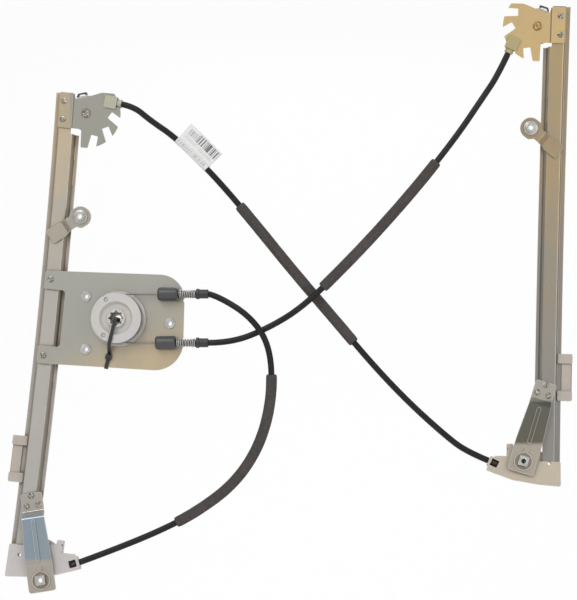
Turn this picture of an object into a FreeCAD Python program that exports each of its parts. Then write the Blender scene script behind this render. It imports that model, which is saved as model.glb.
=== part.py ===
import FreeCAD, Part
import math
import os
import types
import Sketcher
from FreeCAD import Placement, Rotation, Vector

# Window regulator with two curved rails, a drum plate and one loop of wire in three conduits.
# Millimetres and degrees. X runs across the door, Y into it, Z up; the front faces -Y.
# The origin is on the drum's axis, at the front face of the drum plate.

SIZES = [
    ("touch_gap", 0.1, "gap between pieces that are clamped or riveted together"),
    ("slide_gap", 0.4, "gap between a slider and its rail"),
    ("running_gap", 0.05, "radial gap of a turning fit"),
    ("side_gap", 0.3, "gap beside a turning piece"),
    ("rail_length", 475.0, "rail, along its curve"),
    ("rail_curve_radius", 1800.0, "rail curve, to the front of the web"),
    ("rail_web_half", 8.0, "half the width of the raised web"),
    ("rail_depth", 9.0, "web front to lip back"),
    ("rail_sheet", 1.2, "rail sheet thickness"),
    ("rail_outer_lip", 4.9, "lip that the slider grips"),
    ("rail_inner_lip", 3.2, "lip on the pulley side"),
    ("rail_outer_flare", 0.6, "sideways run of the outer wall"),
    ("rail_inner_flare", 2.4, "sideways run of the inner wall"),
    ("rail_bend", 1.0, "inside bend radius of the rail"),
    ("rivet_shank", 1.9, "rivet shank radius"),
    ("rivet_head", 3.2, "rivet head radius"),
    ("rail_end_web", 5.4, "inner edge of the web where the inner wall is cut away"),
    ("rail_end_cut", 42.0, "length of inner wall cut away at each end"),
    ("left_rail_across", -74.5, "left rail centre line at its middle"),
    ("left_rail_lean", 5.5, "lean of the left rail"),
    ("right_rail_across", 454.7, "right rail centre line at its middle"),
    ("right_rail_rise", 88.0, "right rail middle above the drum axis"),
    ("right_rail_lean", 1.5, "lean of the right rail"),
    ("wire_radius", 0.75, "wire rope"),
    ("wire_depth", 4.0, "wire behind the front of the rail web"),
    ("pulley_offset", 21.0, "pulley axis from the rail centre line"),
    ("pulley_wire_radius", 16.5, "wire centre round a pulley"),
    ("pulley_rim", 18.5, "pulley rim radius"),
    ("pulley_width", 4.4, "pulley width"),
    ("pulley_barrel", 5.0, "axle radius in the pulley"),
    ("axle_shank", 3.2, "axle radius in its plate"),
    ("axle_head", 4.7, "axle head radius"),
    ("left_pulley_inset", 18.9, "left upper pulley below the rail's upper end"),
    ("right_pulley_inset", 21.0, "right upper pulley below the rail's upper end"),
    ("left_pulley_drop", 10.0, "left lower pulley below the rail's lower end"),
    ("right_pulley_drop", 1.3, "right lower pulley below the rail's lower end"),
    ("bracket_sheet", 1.6, "folded bracket sheet"),
    ("fan_radius", 36.0, "reach of the fan's fingers"),
    ("fan_slot_width", 7.4, "inner width of the slots between the fingers"),
    ("fan_slot_flare", 0.9, "widening of a slot on each side by its mouth"),
    ("fan_slot_start", 24.8, "inner end of the slots"),
    ("fan_slot_slant", 34.0, "lean of the slots against the radius"),
    ("fan_pitch", 33.0, "angle from slot to slot"),
    ("fan_first_slot", 34.0, "angle of the uppermost slot's inner end"),
    ("fan_foot", 4.0, "half the width of the lowest finger"),
    ("fan_shoulder", 22.8, "top of the fan above the pulley axis"),
    ("fan_dip", 13.8, "low point of the fan's top edge beside the fold"),
    ("flange_top", 19.6, "riveted flange above the pulley axis"),
    ("flange_drop", 17.0, "riveted flange below the pulley axis"),
    ("left_upper_exit", -6.0, "direction of the wire at the left fan"),
    ("right_upper_exit", -67.5, "direction of the wire at the right fan"),
    ("left_lower_exit", 21.0, "direction of the wire at the left housing"),
    ("right_lower_exit", 25.5, "direction of the wire at the right housing"),
    ("left_upper_reach", 34.6, "left upper socket's mouth from where the wire leaves the pulley"),
    ("right_upper_reach", 37.7, "right upper socket's mouth from where the wire leaves the pulley"),
    ("socket_reach", 36.3, "lower socket's mouth from where the wire leaves the pulley"),
    ("socket_half", 6.5, "half the width of a conduit socket"),
    ("socket_length", 13.0, "length of a socket's block"),
    ("collar_radius", 4.6, "socket collar radius"),
    ("collar_length", 5.0, "socket collar length"),
    ("post_radius", 1.9, "post of an upper socket"),
    ("housing_wall", 2.1, "rear wall of a lower housing"),
    ("housing_front", 2.7, "front wall of a lower housing"),
    ("strap_sheet", 2.0, "strap sheet thickness"),
    ("strap_lift", 7.0, "strap plane in front of its riveted pad"),
    ("left_strap_length", 82.0, "left riveted pad centre to fixing hole"),
    ("right_strap_length", 77.0, "right riveted pad centre to fixing hole"),
    ("strap_top_half", 11.2, "half the width of a strap at its riveted pad"),
    ("strap_foot_half", 14.0, "half the width of a strap at its foot"),
    ("left_strap_slant", 14.4, "lean of the left strap against its rail"),
    ("right_strap_slant", 15.6, "lean of the right strap against its rail"),
    ("strap_across", 4.9, "strap pad centre from the rail centre line"),
    ("left_strap_height", 44.7, "left strap pad above the rail's lower end"),
    ("right_strap_height", 73.1, "right strap pad above the rail's lower end"),
    ("tab_sheet", 1.8, "upper fixing tab sheet"),
    ("tab_drop", 147.0, "tab base below the rail's upper end"),
    ("tab_slant", 52.5, "tab direction from the rail"),
    ("tab_length", 32.0, "tab base to fixing hole"),
    ("tab_head", 10.8, "tab head radius"),
    ("tab_lift", 6.0, "tab head in front of its base"),
    ("fixing_bore", 2.5, "bore of the door fixing nuts"),
    ("plate_sheet", 1.8, "drum plate thickness"),
    ("plate_arm_reach", 50.5, "upper arm's end above the drum axis"),
    ("plate_arm_drop", 47.5, "lower arm's end below the drum axis"),
    ("plate_notch_top", 31.5, "top of the gap between the arms"),
    ("plate_notch_bottom", 28.4, "bottom of the gap between the arms"),
    ("plate_right", 70.0, "right edge of the plate"),
    ("plate_top", 45.5, "top edge at the right"),
    ("plate_bottom", 56.0, "bottom edge at the right"),
    ("collar_height", 3.2, "drum spigot on the plate"),
    ("collar_outer", 6.0, "drum spigot radius"),
    ("spindle_hole", 3.7, "hole through the plate on the drum's axis"),
    ("insert_bore", 2.5, "bore of the motor inserts"),
    ("insert_barrel", 4.4, "motor insert barrel radius"),
    ("insert_length", 9.0, "motor insert behind the plate"),
    ("drum_wire_radius", 25.5, "wire centre round the drum"),
    ("crest_rise", 0.7, "drum between its grooves, beyond the wire centre"),
    ("flange_rise", 3.7, "rear flange of the drum, beyond the wire centre"),
    ("end_inset", 3.5, "wire ends inside the wire centre"),
    ("drum_front", 16.0, "drum front face before the plate"),
    ("drum_wire_depth", 7.6, "wire before the plate at the drum"),
    ("groove_pitch", 2.2, "groove to groove"),
    ("drive_bore", 6.6, "drive bore of the drum"),
    ("ferrule_radius", 7.2, "ferrule radius"),
    ("ferrule_length", 21.5, "ferrule length"),
    ("upper_ferrule_start", 42.6, "upper ferrule from the drum axis"),
    ("lower_ferrule_start", 40.1, "lower ferrule from the drum axis"),
    ("spring_radius", 4.7, "outside of the take-up springs"),
    ("cap_start", 83.0, "conduit caps from the drum axis"),
    ("cap_length", 12.6, "conduit cap length"),
    ("cap_radius", 5.6, "conduit cap radius"),
    ("conduit_radius", 3.25, "conduit radius"),
    ("sleeve_radius", 5.9, "foam sleeve radius"),
    ("tag_length", 40.0, "label flag along its conduit"),
    ("tag_reach", 19.0, "label flag beside its conduit"),
    ("tie_width", 3.6, "cable tie width"),
    ("tie_sheet", 1.2, "cable tie thickness"),
    ("tie_head_start", 38.6, "cable tie head from the drum axis"),
    ("tie_head_length", 5.4, "cable tie head length"),
    ("slider_height", 88.5, "sliders above the rail's lower end"),
    ("slider_half", 24.5, "half the height of a slider"),
    ("slider_outer", 25.0, "slider's outer edge from the rail centre line"),
    ("slider_inner", 11.0, "slider's inner edge from the rail centre line"),
    ("slider_back", 8.1, "thickness of a slider behind the rail"),
    ("glass_bore", 4.1, "bore for the glass fixing"),
    ("glass_bore_depth", 7.0, "depth of that bore"),
    ("stop_radius", 1.9, "wire stop in the slider"),
]

doc = FreeCAD.newDocument("WindowRegulator")
sheet = doc.addObject("Spreadsheet::Sheet", "Sizes")
for row, (alias, value, note) in enumerate(SIZES, 1):
    sheet.set("A%d" % row, note)
    sheet.set("B%d" % row, str(value))
    sheet.setAlias("B%d" % row, alias)
doc.recompute()
size = types.SimpleNamespace(**{alias: float(sheet.get(alias)) for alias, value, note in SIZES})

# Each side's pulleys lie towards the other rail: hand is the sign of that direction.
rail_end = size.rail_length / 2
drum_crest = size.drum_wire_radius + size.crest_rise
drum_flange = size.drum_wire_radius + size.flange_rise
plate_seat = size.plate_arm_reach ** 2 / (2 * size.rail_curve_radius) + size.touch_gap
web_front = size.plate_sheet + plate_seat
SIDES = {
    "left": types.SimpleNamespace(
        name="left", hand=1, across=size.left_rail_across, rise=0.0, lean=size.left_rail_lean,
        upper_exit=size.left_upper_exit, lower_exit=size.left_lower_exit,
        upper_reach=size.left_upper_reach, post_slot=0,
        top_station=rail_end - size.left_pulley_inset, low_station=-rail_end - size.left_pulley_drop,
        tab_station=rail_end - size.tab_drop, slider_station=size.slider_height - rail_end,
        strap_station=size.left_strap_height - rail_end, strap_slant=size.left_strap_slant,
        strap_length=size.left_strap_length),
    "right": types.SimpleNamespace(
        name="right", hand=-1, across=size.right_rail_across, rise=size.right_rail_rise,
        lean=size.right_rail_lean, upper_exit=size.right_upper_exit,
        lower_exit=size.right_lower_exit, upper_reach=size.right_upper_reach, post_slot=2,
        top_station=rail_end - size.right_pulley_inset, low_station=-rail_end - size.right_pulley_drop,
        tab_station=rail_end - size.tab_drop, slider_station=size.slider_height - rail_end,
        strap_station=size.right_strap_height - rail_end, strap_slant=size.right_strap_slant,
        strap_length=size.right_strap_length),
}


# Places

def on_rail(side, station):
    """Frame on the web's front face, this far along the rail's curve from its middle."""
    middle = Placement(Vector(side.across, web_front, side.rise),
                       Rotation(Vector(0, 1, 0), side.lean))
    swing = math.degrees(station / size.rail_curve_radius)
    centre = Vector(0, -size.rail_curve_radius, 0)
    return middle * Placement(Vector(0, 0, 0), Rotation(Vector(1, 0, 0), swing), centre)


def aimed(side, across, up, angle):
    """Shift to a point of the rail frame and turn X to an angle above the inward direction."""
    turn = -angle if side.hand > 0 else angle - 180
    return Placement(Vector(side.hand * across, 0, up), Rotation(Vector(0, 1, 0), turn))


def wire_line(angle, top):
    """Where the wire leaves a pulley for its socket, from the pulley's axis."""
    normal = math.radians(angle + (90 if top else -90))
    return size.pulley_wire_radius * math.cos(normal), size.pulley_wire_radius * math.sin(normal)


# Sketches and features

def plane_of(body, role):
    return next(plane for plane in body.Origin.OriginFeatures if plane.Role == role)


def new_body(label, placement=Placement()):
    body = doc.addObject("PartDesign::Body", label)
    body.Label = label
    body.Placement = placement
    return body


def new_sketch(body, plane="XZ_Plane", depth="0"):
    """Sketch on an origin plane; on XZ, depth is how far behind the frame it lies."""
    sketch = body.newObject("Sketcher::SketchObject", body.Name + "_sketch")
    sketch.AttachmentSupport = [(plane_of(body, plane), "")]
    sketch.MapMode = "FlatFace"
    sketch.setExpression(".AttachmentOffset.Base.z", "-(%s)" % depth)
    return sketch


def add_loop(sketch, corners):
    """Closed loop through corners given as (x, y, radius), with each corner rounded."""
    count = len(corners)
    rounds = []
    for index, (x, y, radius) in enumerate(corners):
        corner = Vector(x, y, 0)
        last = corners[index - 1]
        following = corners[(index + 1) % count]
        before = (Vector(last[0], last[1], 0) - corner).normalize()
        after = (Vector(following[0], following[1], 0) - corner).normalize()
        half = before.getAngle(after) / 2
        reach = radius / math.tan(half)
        middle = corner + (before + after).normalize() * (radius / math.sin(half) - radius)
        rounds.append((corner + before * reach, middle, corner + after * reach, radius))
    for index, (entry, middle, leave, radius) in enumerate(rounds):
        if radius > 0:
            sketch.addGeometry(Part.Arc(entry, middle, leave), False)
        goal = rounds[(index + 1) % count][0]
        if leave.distanceToPoint(goal) > 1e-6:
            sketch.addGeometry(Part.LineSegment(leave, goal), False)


def add_circle(sketch, x, y, radius):
    """Circle whose radius is bound to a cell or a formula of cells."""
    value = evaluate(radius)
    index = sketch.addGeometry(Part.Circle(Vector(x, y, 0), Vector(0, 0, 1), value), False)
    bound = sketch.addConstraint(Sketcher.Constraint("Radius", index, value))
    sketch.setExpression("Constraints[%d]" % bound, in_cells(radius))


def evaluate(formula):
    """Value of a plain formula of size names, such as a + b."""
    total = 0.0
    for term in formula.replace("- ", "+ -").split("+"):
        term = term.strip()
        sign = -1 if term.startswith("-") else 1
        total += sign * getattr(size, term.lstrip("-"))
    return total


def in_cells(formula):
    """The same formula with each size name turned into its cell."""
    return " ".join("Sizes." + word if word in vars(size) else word for word in formula.split())


def pad(body, sketch, length, back=True, both=False):
    feature = body.newObject("PartDesign::Pad", body.Name + "_pad")
    feature.Profile = sketch
    feature.setExpression("Length", in_cells(length))
    feature.Reversed = back
    if both:
        feature.SideType = "Symmetric"
    return feature


def cut(body, sketch, length=None):
    """Pocket towards the back: right through, or as deep as a formula says."""
    feature = body.newObject("PartDesign::Pocket", body.Name + "_pocket")
    feature.Profile = sketch
    if length is None:
        feature.Type = "ThroughAll"
        feature.SideType = "Symmetric"
    else:
        feature.setExpression("Length", in_cells(length))
    return feature


def turned(label, profile, placement):
    """Body turned about its own Y axis; profile corners are (radius, along Y, rounding)."""
    body = new_body(label, placement)
    sketch = new_sketch(body, "XY_Plane")
    add_loop(sketch, profile)
    revolution = body.newObject("PartDesign::Revolution", label + "_turn")
    revolution.Profile = sketch
    revolution.ReferenceAxis = (sketch, ["V_Axis"])
    revolution.Angle = 360
    return body


def band(spine, sheet_thickness, bend):
    """Outline of a folded sheet from one face's corner points, as a loop of corners."""
    normals = []
    for start, end in zip(spine, spine[1:]):
        run = (Vector(end[0] - start[0], end[1] - start[1], 0)).normalize()
        normals.append(Vector(-run.y, run.x, 0))
    near = [(spine[0][0], spine[0][1], 0)]
    far = [(spine[0][0] + normals[0].x * sheet_thickness,
            spine[0][1] + normals[0].y * sheet_thickness, 0)]
    for index in range(1, len(spine) - 1):
        first, second = normals[index - 1], normals[index]
        reach = sheet_thickness / (1 + first.dot(second))
        offset = (first + second) * reach
        turn = first.cross(second).z
        near.append((spine[index][0], spine[index][1], bend if turn < 0 else bend + sheet_thickness))
        far.append((spine[index][0] + offset.x, spine[index][1] + offset.y,
                    bend + sheet_thickness if turn < 0 else bend))
    near.append((spine[-1][0], spine[-1][1], 0))
    far.append((spine[-1][0] + normals[-1].x * sheet_thickness,
                spine[-1][1] + normals[-1].y * sheet_thickness, 0))
    return near + far[::-1]


def group(label, members):
    """Identical pieces kept together in one node as separate solids."""
    compound = doc.addObject("Part::Compound", label)
    compound.Label = label
    compound.Links = members
    return compound


nodes = []


def keep(piece):
    nodes.append(piece)
    return piece


# Rails

def rail_profile(hand):
    """Top-hat section in (across, depth): outer lip, outer wall, web, inner wall, inner lip."""
    thick = size.rail_sheet
    lip_front = size.rail_depth - thick
    outer_foot = -size.rail_web_half - size.rail_outer_flare
    inner_foot = size.rail_web_half + size.rail_inner_flare
    spine = [
        (hand * (outer_foot - size.rail_outer_lip), lip_front),
        (hand * outer_foot, lip_front),
        (hand * -size.rail_web_half, 0),
        (hand * size.rail_web_half, 0),
        (hand * inner_foot, lip_front),
        (hand * (inner_foot + size.rail_inner_lip), lip_front),
    ]
    if hand < 0:
        spine.reverse()
    return band(spine, thick, size.rail_bend)


def rivet_spots(side):
    """Rivets through the web as (across, station) for each piece that they hold."""
    strap = []
    slant = math.radians(side.strap_slant)
    for along, across in ((6.6, 0), (-3.4, 6.0), (-3.6, -6.0)):
        inward = size.strap_across + across * math.cos(slant) - along * math.sin(slant)
        strap.append((side.hand * inward, side.strap_station + across * math.sin(slant)
                      + along * math.cos(slant)))
    bracket = [(side.hand * -2.8, side.top_station + rise) for rise in (10.6, -8.4)]
    spots = {"strap": strap, "bracket": bracket}
    if side.name == "left":
        spots["plate"] = [(-1.2, 42.0), (-1.0, -38.5)]
    return spots


def rail(side):
    """Top-hat channel curved in depth, its inner wall cut away at both ends."""
    body = new_body(side.name + "_rail_section", on_rail(side, 0))
    sketch = new_sketch(body, "XY_Plane")
    add_loop(sketch, rail_profile(side.hand))
    axis = Part.LineSegment(Vector(-1, -size.rail_curve_radius, 0),
                            Vector(1, -size.rail_curve_radius, 0))
    sketch.addGeometry(axis, True)
    sweep = body.newObject("PartDesign::Revolution", body.Name + "_sweep")
    sweep.Profile = sketch
    sweep.ReferenceAxis = (sketch, ["Axis0"])
    sweep.setExpression("Angle", "Sizes.rail_length / Sizes.rail_curve_radius * 180 / pi")
    sweep.Midplane = True
    inner = side.hand * size.rail_end_web
    beyond = side.hand * (size.rail_web_half + size.rail_inner_flare + size.rail_inner_lip + 1)
    ends = new_sketch(body)
    for sign in (1, -1):
        near = sign * (size.rail_length / 2 - size.rail_end_cut)
        far = sign * (size.rail_length / 2 + 1)
        add_loop(ends, [(inner, near, 0), (beyond, near, 0), (beyond, far, 0), (inner, far, 0)])
    cut(body, ends)
    holes = []
    for spots in rivet_spots(side).values():
        for across, station in spots:
            hole = doc.addObject("Part::Cylinder", side.name + "_rail_hole")
            hole.setExpression("Radius", in_cells("rivet_shank + running_gap"))
            hole.setExpression("Height", "Sizes.rail_depth")
            spot = Placement(Vector(across, -size.rail_depth / 2, 0), Rotation(Vector(1, 0, 0), -90))
            hole.Placement = on_rail(side, station) * spot
            holes.append(hole)
    drilled = doc.addObject("Part::Cut", side.name + "_rail")
    drilled.Label = side.name + "_rail"
    drilled.Base = body
    drilled.Tool = group(side.name + "_rail_holes", holes)
    return keep(drilled)


# Upper brackets

def top_bracket(side):
    """Folded sheet: a flange riveted over the rail's end, and a slotted fan behind its face."""
    hand = side.hand
    body = new_body(side.name + "_top_bracket", on_rail(side, side.top_station))
    seat = size.flange_top ** 2 / (2 * size.rail_curve_radius) + size.touch_gap
    flange_front = -seat - size.bracket_sheet
    fan_front = -size.touch_gap
    fan_end = size.pulley_offset + size.fan_radius + 2
    fold = 6.2
    spine = [(hand * -size.rail_web_half, flange_front), (hand * fold, flange_front),
             (hand * (fold + size.bracket_sheet), fan_front), (hand * fan_end, fan_front)]
    if hand < 0:
        spine.reverse()
    section = new_sketch(body, "XY_Plane")
    add_loop(section, band(spine, size.bracket_sheet, 0.6))
    pad(body, section, "fan_radius + fan_radius + flange_top", both=True)
    trim = new_sketch(body)
    wide = 2 * size.fan_radius + size.pulley_offset
    add_loop(trim, [(-wide, -wide, 0), (wide, -wide, 0), (wide, wide, 0), (-wide, wide, 0)])
    add_loop(trim, fan_outline(hand))
    cut(body, trim)
    slot = new_sketch(body)
    for index in range(4):
        inner_end, along = fan_slot(index)
        across = Vector(-along.y, along.x, 0)
        near = size.fan_slot_width / 2
        far = near + size.fan_slot_flare
        mouth_end = inner_end + along * (size.fan_radius - size.fan_slot_start + 6)
        corners = [inner_end - across * near, mouth_end - across * far, mouth_end + across * far,
                   inner_end + across * near]
        add_loop(slot, [(hand * (size.pulley_offset + spot.x), spot.y, radius)
                        for spot, radius in zip(corners, (0.8, 0, 0, 0.8))])
    cut(body, slot)
    notch = new_sketch(body)
    collar_start = side.upper_reach - size.collar_length - 1
    depth = size.wire_depth - size.bracket_sheet + size.touch_gap
    room = math.sqrt(size.collar_radius ** 2 - depth ** 2) + size.slide_gap
    corners = wire_strip(side, side.upper_exit, True, (collar_start, side.upper_reach + 12, room, 0))
    add_loop(notch, [(x + hand * size.pulley_offset, z, radius) for x, z, radius in corners])
    cut(body, notch)
    holes = new_sketch(body)
    add_circle(holes, hand * size.pulley_offset, 0, "axle_shank + running_gap")
    for across, station in rivet_spots(side)["bracket"]:
        add_circle(holes, across, station - side.top_station, "rivet_shank + running_gap")
    cut(body, holes)
    return keep(body)


def fan_slot(index):
    """Middle of a slot's inner end and the slot's direction, from the pulley's axis."""
    place = math.radians(size.fan_first_slot - index * size.fan_pitch)
    heading = place - math.radians(size.fan_slot_slant)
    inner_end = Vector(math.cos(place), math.sin(place), 0) * size.fan_slot_start
    return inner_end, Vector(math.cos(heading), math.sin(heading), 0)


def fan_outline(hand):
    """Flange beside the rail and a round fan about the pulley's axis, before its slots."""
    offset = size.pulley_offset
    reach = size.fan_radius
    left = -size.rail_web_half + 0.5
    rim = []
    for angle in (-74, -42, -10, 22):
        corner = reach / math.cos(math.radians(16))
        rim.append((offset + corner * math.cos(math.radians(angle)),
                    corner * math.sin(math.radians(angle)), reach))
    last = math.radians(38)
    beyond = (size.fan_shoulder - reach * math.sin(last)) / math.cos(last)
    return [(hand * x, z, radius) for x, z, radius in [
        (left, -size.flange_drop, 1.5),
        (offset - size.fan_foot, -size.flange_drop, 1.0),
        (offset - size.fan_foot + 0.6, -reach, 1.2),
        *rim,
        (offset + reach * math.cos(last) - beyond * math.sin(last), size.fan_shoulder, 0.8),
        (offset + 15.0, size.fan_shoulder, 8.0),
        (offset - 8.0, size.fan_dip, 2.0),
        (8.6, size.fan_dip, 2.0),
        (7.0, size.flange_top, 1.2),
        (left, size.flange_top, 1.2),
    ]]


def pulley(label, frame):
    """Grooved wheel on its axle's barrel."""
    front = size.bracket_sheet - size.touch_gap + size.side_gap
    back = front + size.pulley_width
    middle = (front + back) / 2
    root = size.pulley_wire_radius - size.wire_radius - 0.15
    bore = size.pulley_barrel + size.running_gap
    profile = [(bore, front, 0), (size.pulley_rim, front, 0.3), (size.pulley_rim, front + 0.7, 0.3),
               (root, middle - 0.9, 0.6), (root, middle + 0.9, 0.6),
               (size.pulley_rim, back - 0.7, 0.3), (size.pulley_rim, back, 0.3), (bore, back, 0)]
    return keep(turned(label, profile, frame))


def top_axle(side, frame):
    """Staked rivet: head before the fan, shoulder behind it, and a rear collar."""
    fan_front = -size.touch_gap
    fan_back = fan_front + size.bracket_sheet
    pulley_back = fan_back + 2 * size.side_gap + size.pulley_width
    profile = [(0, fan_front - 1.9, 0), (size.axle_head - 1.2, fan_front - 1.9, 0),
               (size.axle_head, fan_front - 0.9, 0.5), (size.axle_head, fan_front - 0.02, 0),
               (size.axle_shank, fan_front - 0.02, 0), (size.axle_shank, fan_back + 0.02, 0),
               (size.pulley_barrel, fan_back + 0.02, 0), (size.pulley_barrel, pulley_back, 0),
               (size.pulley_barrel + 1.6, pulley_back, 0),
               (size.pulley_barrel + 1.6, pulley_back + 1.2, 0.4), (0, pulley_back + 1.2, 0)]
    return keep(turned(side.name + "_top_axle", profile, frame))


def cable_keeper(side):
    """Black clip over the pulley's rim that shows above the fan's edge."""
    hand = side.hand
    frame = on_rail(side, side.top_station)
    body = new_body(side.name + "_cable_keeper", frame)
    sketch = new_sketch(body, depth=in_cells("bracket_sheet"))
    clear = size.pulley_rim + size.side_gap
    hook = [(118.5, 3.2), (129.0, 0.3), (122.8, 0.25), (117.0, 1.9), (99.6, 1.6), (98.6, 0.3),
            (93.6, 0.2), (95.8, 3.2)]
    corners = []
    for angle, rise in hook:
        radius = clear + rise
        corners.append((hand * (size.pulley_offset + radius * math.cos(math.radians(angle))),
                        radius * math.sin(math.radians(angle)), 0.4))
    add_loop(sketch, corners)
    pad(body, sketch, "pulley_width + side_gap + side_gap + bracket_sheet")
    return keep(body)


def top_fitting(side):
    """Moulded conduit socket, held to one finger of the fan by a post through the slot."""
    exit_across, exit_up = wire_line(side.upper_exit, True)
    along = aimed(side, size.pulley_offset + exit_across, exit_up, side.upper_exit)
    body = new_body(side.name + "_top_fitting",
                    on_rail(side, side.top_station) * along)
    end = side.upper_reach - size.collar_length
    start = end - size.socket_length
    half = size.socket_half
    block = [(start, -half, 1.5), (end, -half, 1.5), (end, half, 1.5), (start, half, 1.5)]
    rear = new_sketch(body, depth=in_cells("bracket_sheet"))
    add_loop(rear, block)
    pad(body, rear, "wire_depth + wire_depth - bracket_sheet")
    front = new_sketch(body, depth=in_cells("- touch_gap - touch_gap"))
    add_loop(front, block)
    pad(body, front, "bracket_sheet", back=False)
    post = new_sketch(body, depth=in_cells("- touch_gap - touch_gap - touch_gap"))
    lean = math.radians(side.upper_exit)
    inner_end, heading = fan_slot(side.post_slot)
    place = inner_end + heading * (2 * size.post_radius + size.side_gap)
    spot = (place.x - exit_across, place.y - exit_up)
    post_x = spot[0] * math.cos(lean) + spot[1] * math.sin(lean)
    post_z = -spot[0] * math.sin(lean) + spot[1] * math.cos(lean)
    add_circle(post, post_x, post_z * side.hand, "post_radius")
    pad(body, post, "bracket_sheet + touch_gap + touch_gap + touch_gap + touch_gap")
    collar = new_sketch(body, "YZ_Plane", depth="-%g" % (end - 0.5))
    add_circle(collar, size.wire_depth, 0, "collar_radius")
    pad(body, collar, "collar_length + running_gap", back=False)
    bore = new_sketch(body, "YZ_Plane")
    add_circle(bore, size.wire_depth, 0, "wire_radius + side_gap")
    cut(body, bore)
    return keep(body)


# Lower ends

def low_bracket(side):
    """Moulded housing round the lower pulley, with a tongue in the rail and a conduit socket."""
    hand = side.hand
    body = new_body(side.name + "_low_bracket", low_frame(side))
    cavity_front = size.bracket_sheet - size.touch_gap
    front = cavity_front - size.housing_front
    notch = size.rail_web_half - size.pulley_offset + 0.6
    shoulder = -side.low_station - rail_end - size.side_gap
    outline = [(-34.3, shoulder, 1.5), (-34.9, -24.2, 1.5), (-12.0, -22.4, 30.0), (14.0, -18.6, 30.0),
               (30.0, -13.2, 10.0), (42.0, -9.0, 1.0), (37.0, 4.0, 1.0), (33.6, 4.4, 0.8),
               (31.6, 15.2, 3.0), (26.0, 18.2, 4.0), (14.9, 18.4, 1.5), (14.3, 13.2, 2.0),
               (notch, 13.2, 1.5), (notch, shoulder, 0)]
    shell = new_sketch(body, depth="%g" % front)
    add_loop(shell, [(hand * x, z, radius) for x, z, radius in outline])
    pad(body, shell, "housing_front + pulley_width + side_gap + side_gap + housing_wall")
    tongue = new_sketch(body, depth=in_cells("rail_sheet + side_gap"))
    left = -size.pulley_offset - 6.3
    right = -size.pulley_wire_radius - size.wire_radius - 1.0
    add_loop(tongue, [(hand * left, shoulder - 1, 0), (hand * right, shoulder - 1, 0),
                      (hand * right, shoulder + 15, 1.5), (hand * left, shoulder + 15, 1.5)])
    pad(body, tongue, "rail_depth - rail_sheet - side_gap - side_gap")
    socket = new_sketch(body, depth="%g" % front)
    add_loop(socket, lower_line(side, size.socket_reach - size.socket_length - 4,
                                size.socket_reach, size.socket_half - 1.3, 1.2))
    pad(body, socket, "housing_front + pulley_width + side_gap + side_gap + housing_wall")
    hollow = new_sketch(body, depth="%g" % cavity_front)
    add_circle(hollow, 0, 0, "pulley_rim + slide_gap")
    cut(body, hollow, "pulley_width + side_gap + side_gap")
    entry = new_sketch(body, depth="%g" % cavity_front)
    wire = hand * -size.pulley_wire_radius
    add_loop(entry, [(wire - 1.7, 0, 0), (wire + 1.7, 0, 0), (wire + 1.7, shoulder + 1, 0),
                     (wire - 1.7, shoulder + 1, 0)])
    cut(body, entry, "pulley_width + side_gap + side_gap")
    channel = new_sketch(body, depth="%g" % (size.wire_depth - size.wire_radius - size.side_gap))
    add_loop(channel, lower_line(side, 0, size.socket_reach + 1, size.wire_radius + size.side_gap, 0))
    cut(body, channel, "wire_radius + wire_radius + side_gap + side_gap")
    window = new_sketch(body, depth="%g" % (front - 1))
    add_loop(window, lower_line(side, size.socket_reach - 10.5, size.socket_reach - 2.8, 3.8, 0.6))
    cut(body, window, "housing_front + wire_depth")
    small = new_sketch(body, depth="%g" % (front - 1))
    stem = [(21.4, 7.6), (23.6, 7.6), (23.6, 12.0), (25.4, 12.0), (25.4, 14.4), (19.9, 14.4),
            (19.9, 12.0), (21.4, 12.0)]
    add_loop(small, [(hand * x, z, 0) for x, z in stem])
    cut(body, small, "housing_front + side_gap + rail_bend")
    lug = new_sketch(body, depth="%g" % cavity_front)
    lug_side = size.pulley_rim + size.slide_gap + size.housing_wall
    add_loop(lug, [(hand * lug_side, 5.5, 0), (hand * 60, 5.5, 0), (hand * 60, 40, 0),
                   (hand * lug_side, 40, 0)])
    cut(body, lug)
    holes = new_sketch(body)
    add_circle(holes, 0, 0, "axle_shank + running_gap")
    add_circle(holes, hand * -22.8, -0.8, "rivet_shank")
    cut(body, holes)
    return keep(body)


def low_frame(side):
    """Frame on the lower pulley's axis."""
    return on_rail(side, side.low_station) * Placement(
        Vector(side.hand * size.pulley_offset, 0, 0), Rotation())


def lower_line(side, start, end, half, radius):
    """Rounded strip along the wire that leaves the lower pulley, in that pulley's frame."""
    return wire_strip(side, side.lower_exit, False, (start, end, half, radius))


def wire_strip(side, exit_angle, top, extent):
    """Rounded strip (start, end, half width, rounding) along the wire that leaves a pulley."""
    start, end, half, radius = extent
    origin = Vector(*wire_line(exit_angle, top), 0)
    angle = math.radians(exit_angle)
    along = Vector(math.cos(angle), math.sin(angle), 0)
    across = Vector(-along.y, along.x, 0)
    spots = [origin + along * start - across * half, origin + along * end - across * half,
             origin + along * end + across * half, origin + along * start + across * half]
    return [(side.hand * spot.x, spot.y, radius) for spot in spots]


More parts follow.
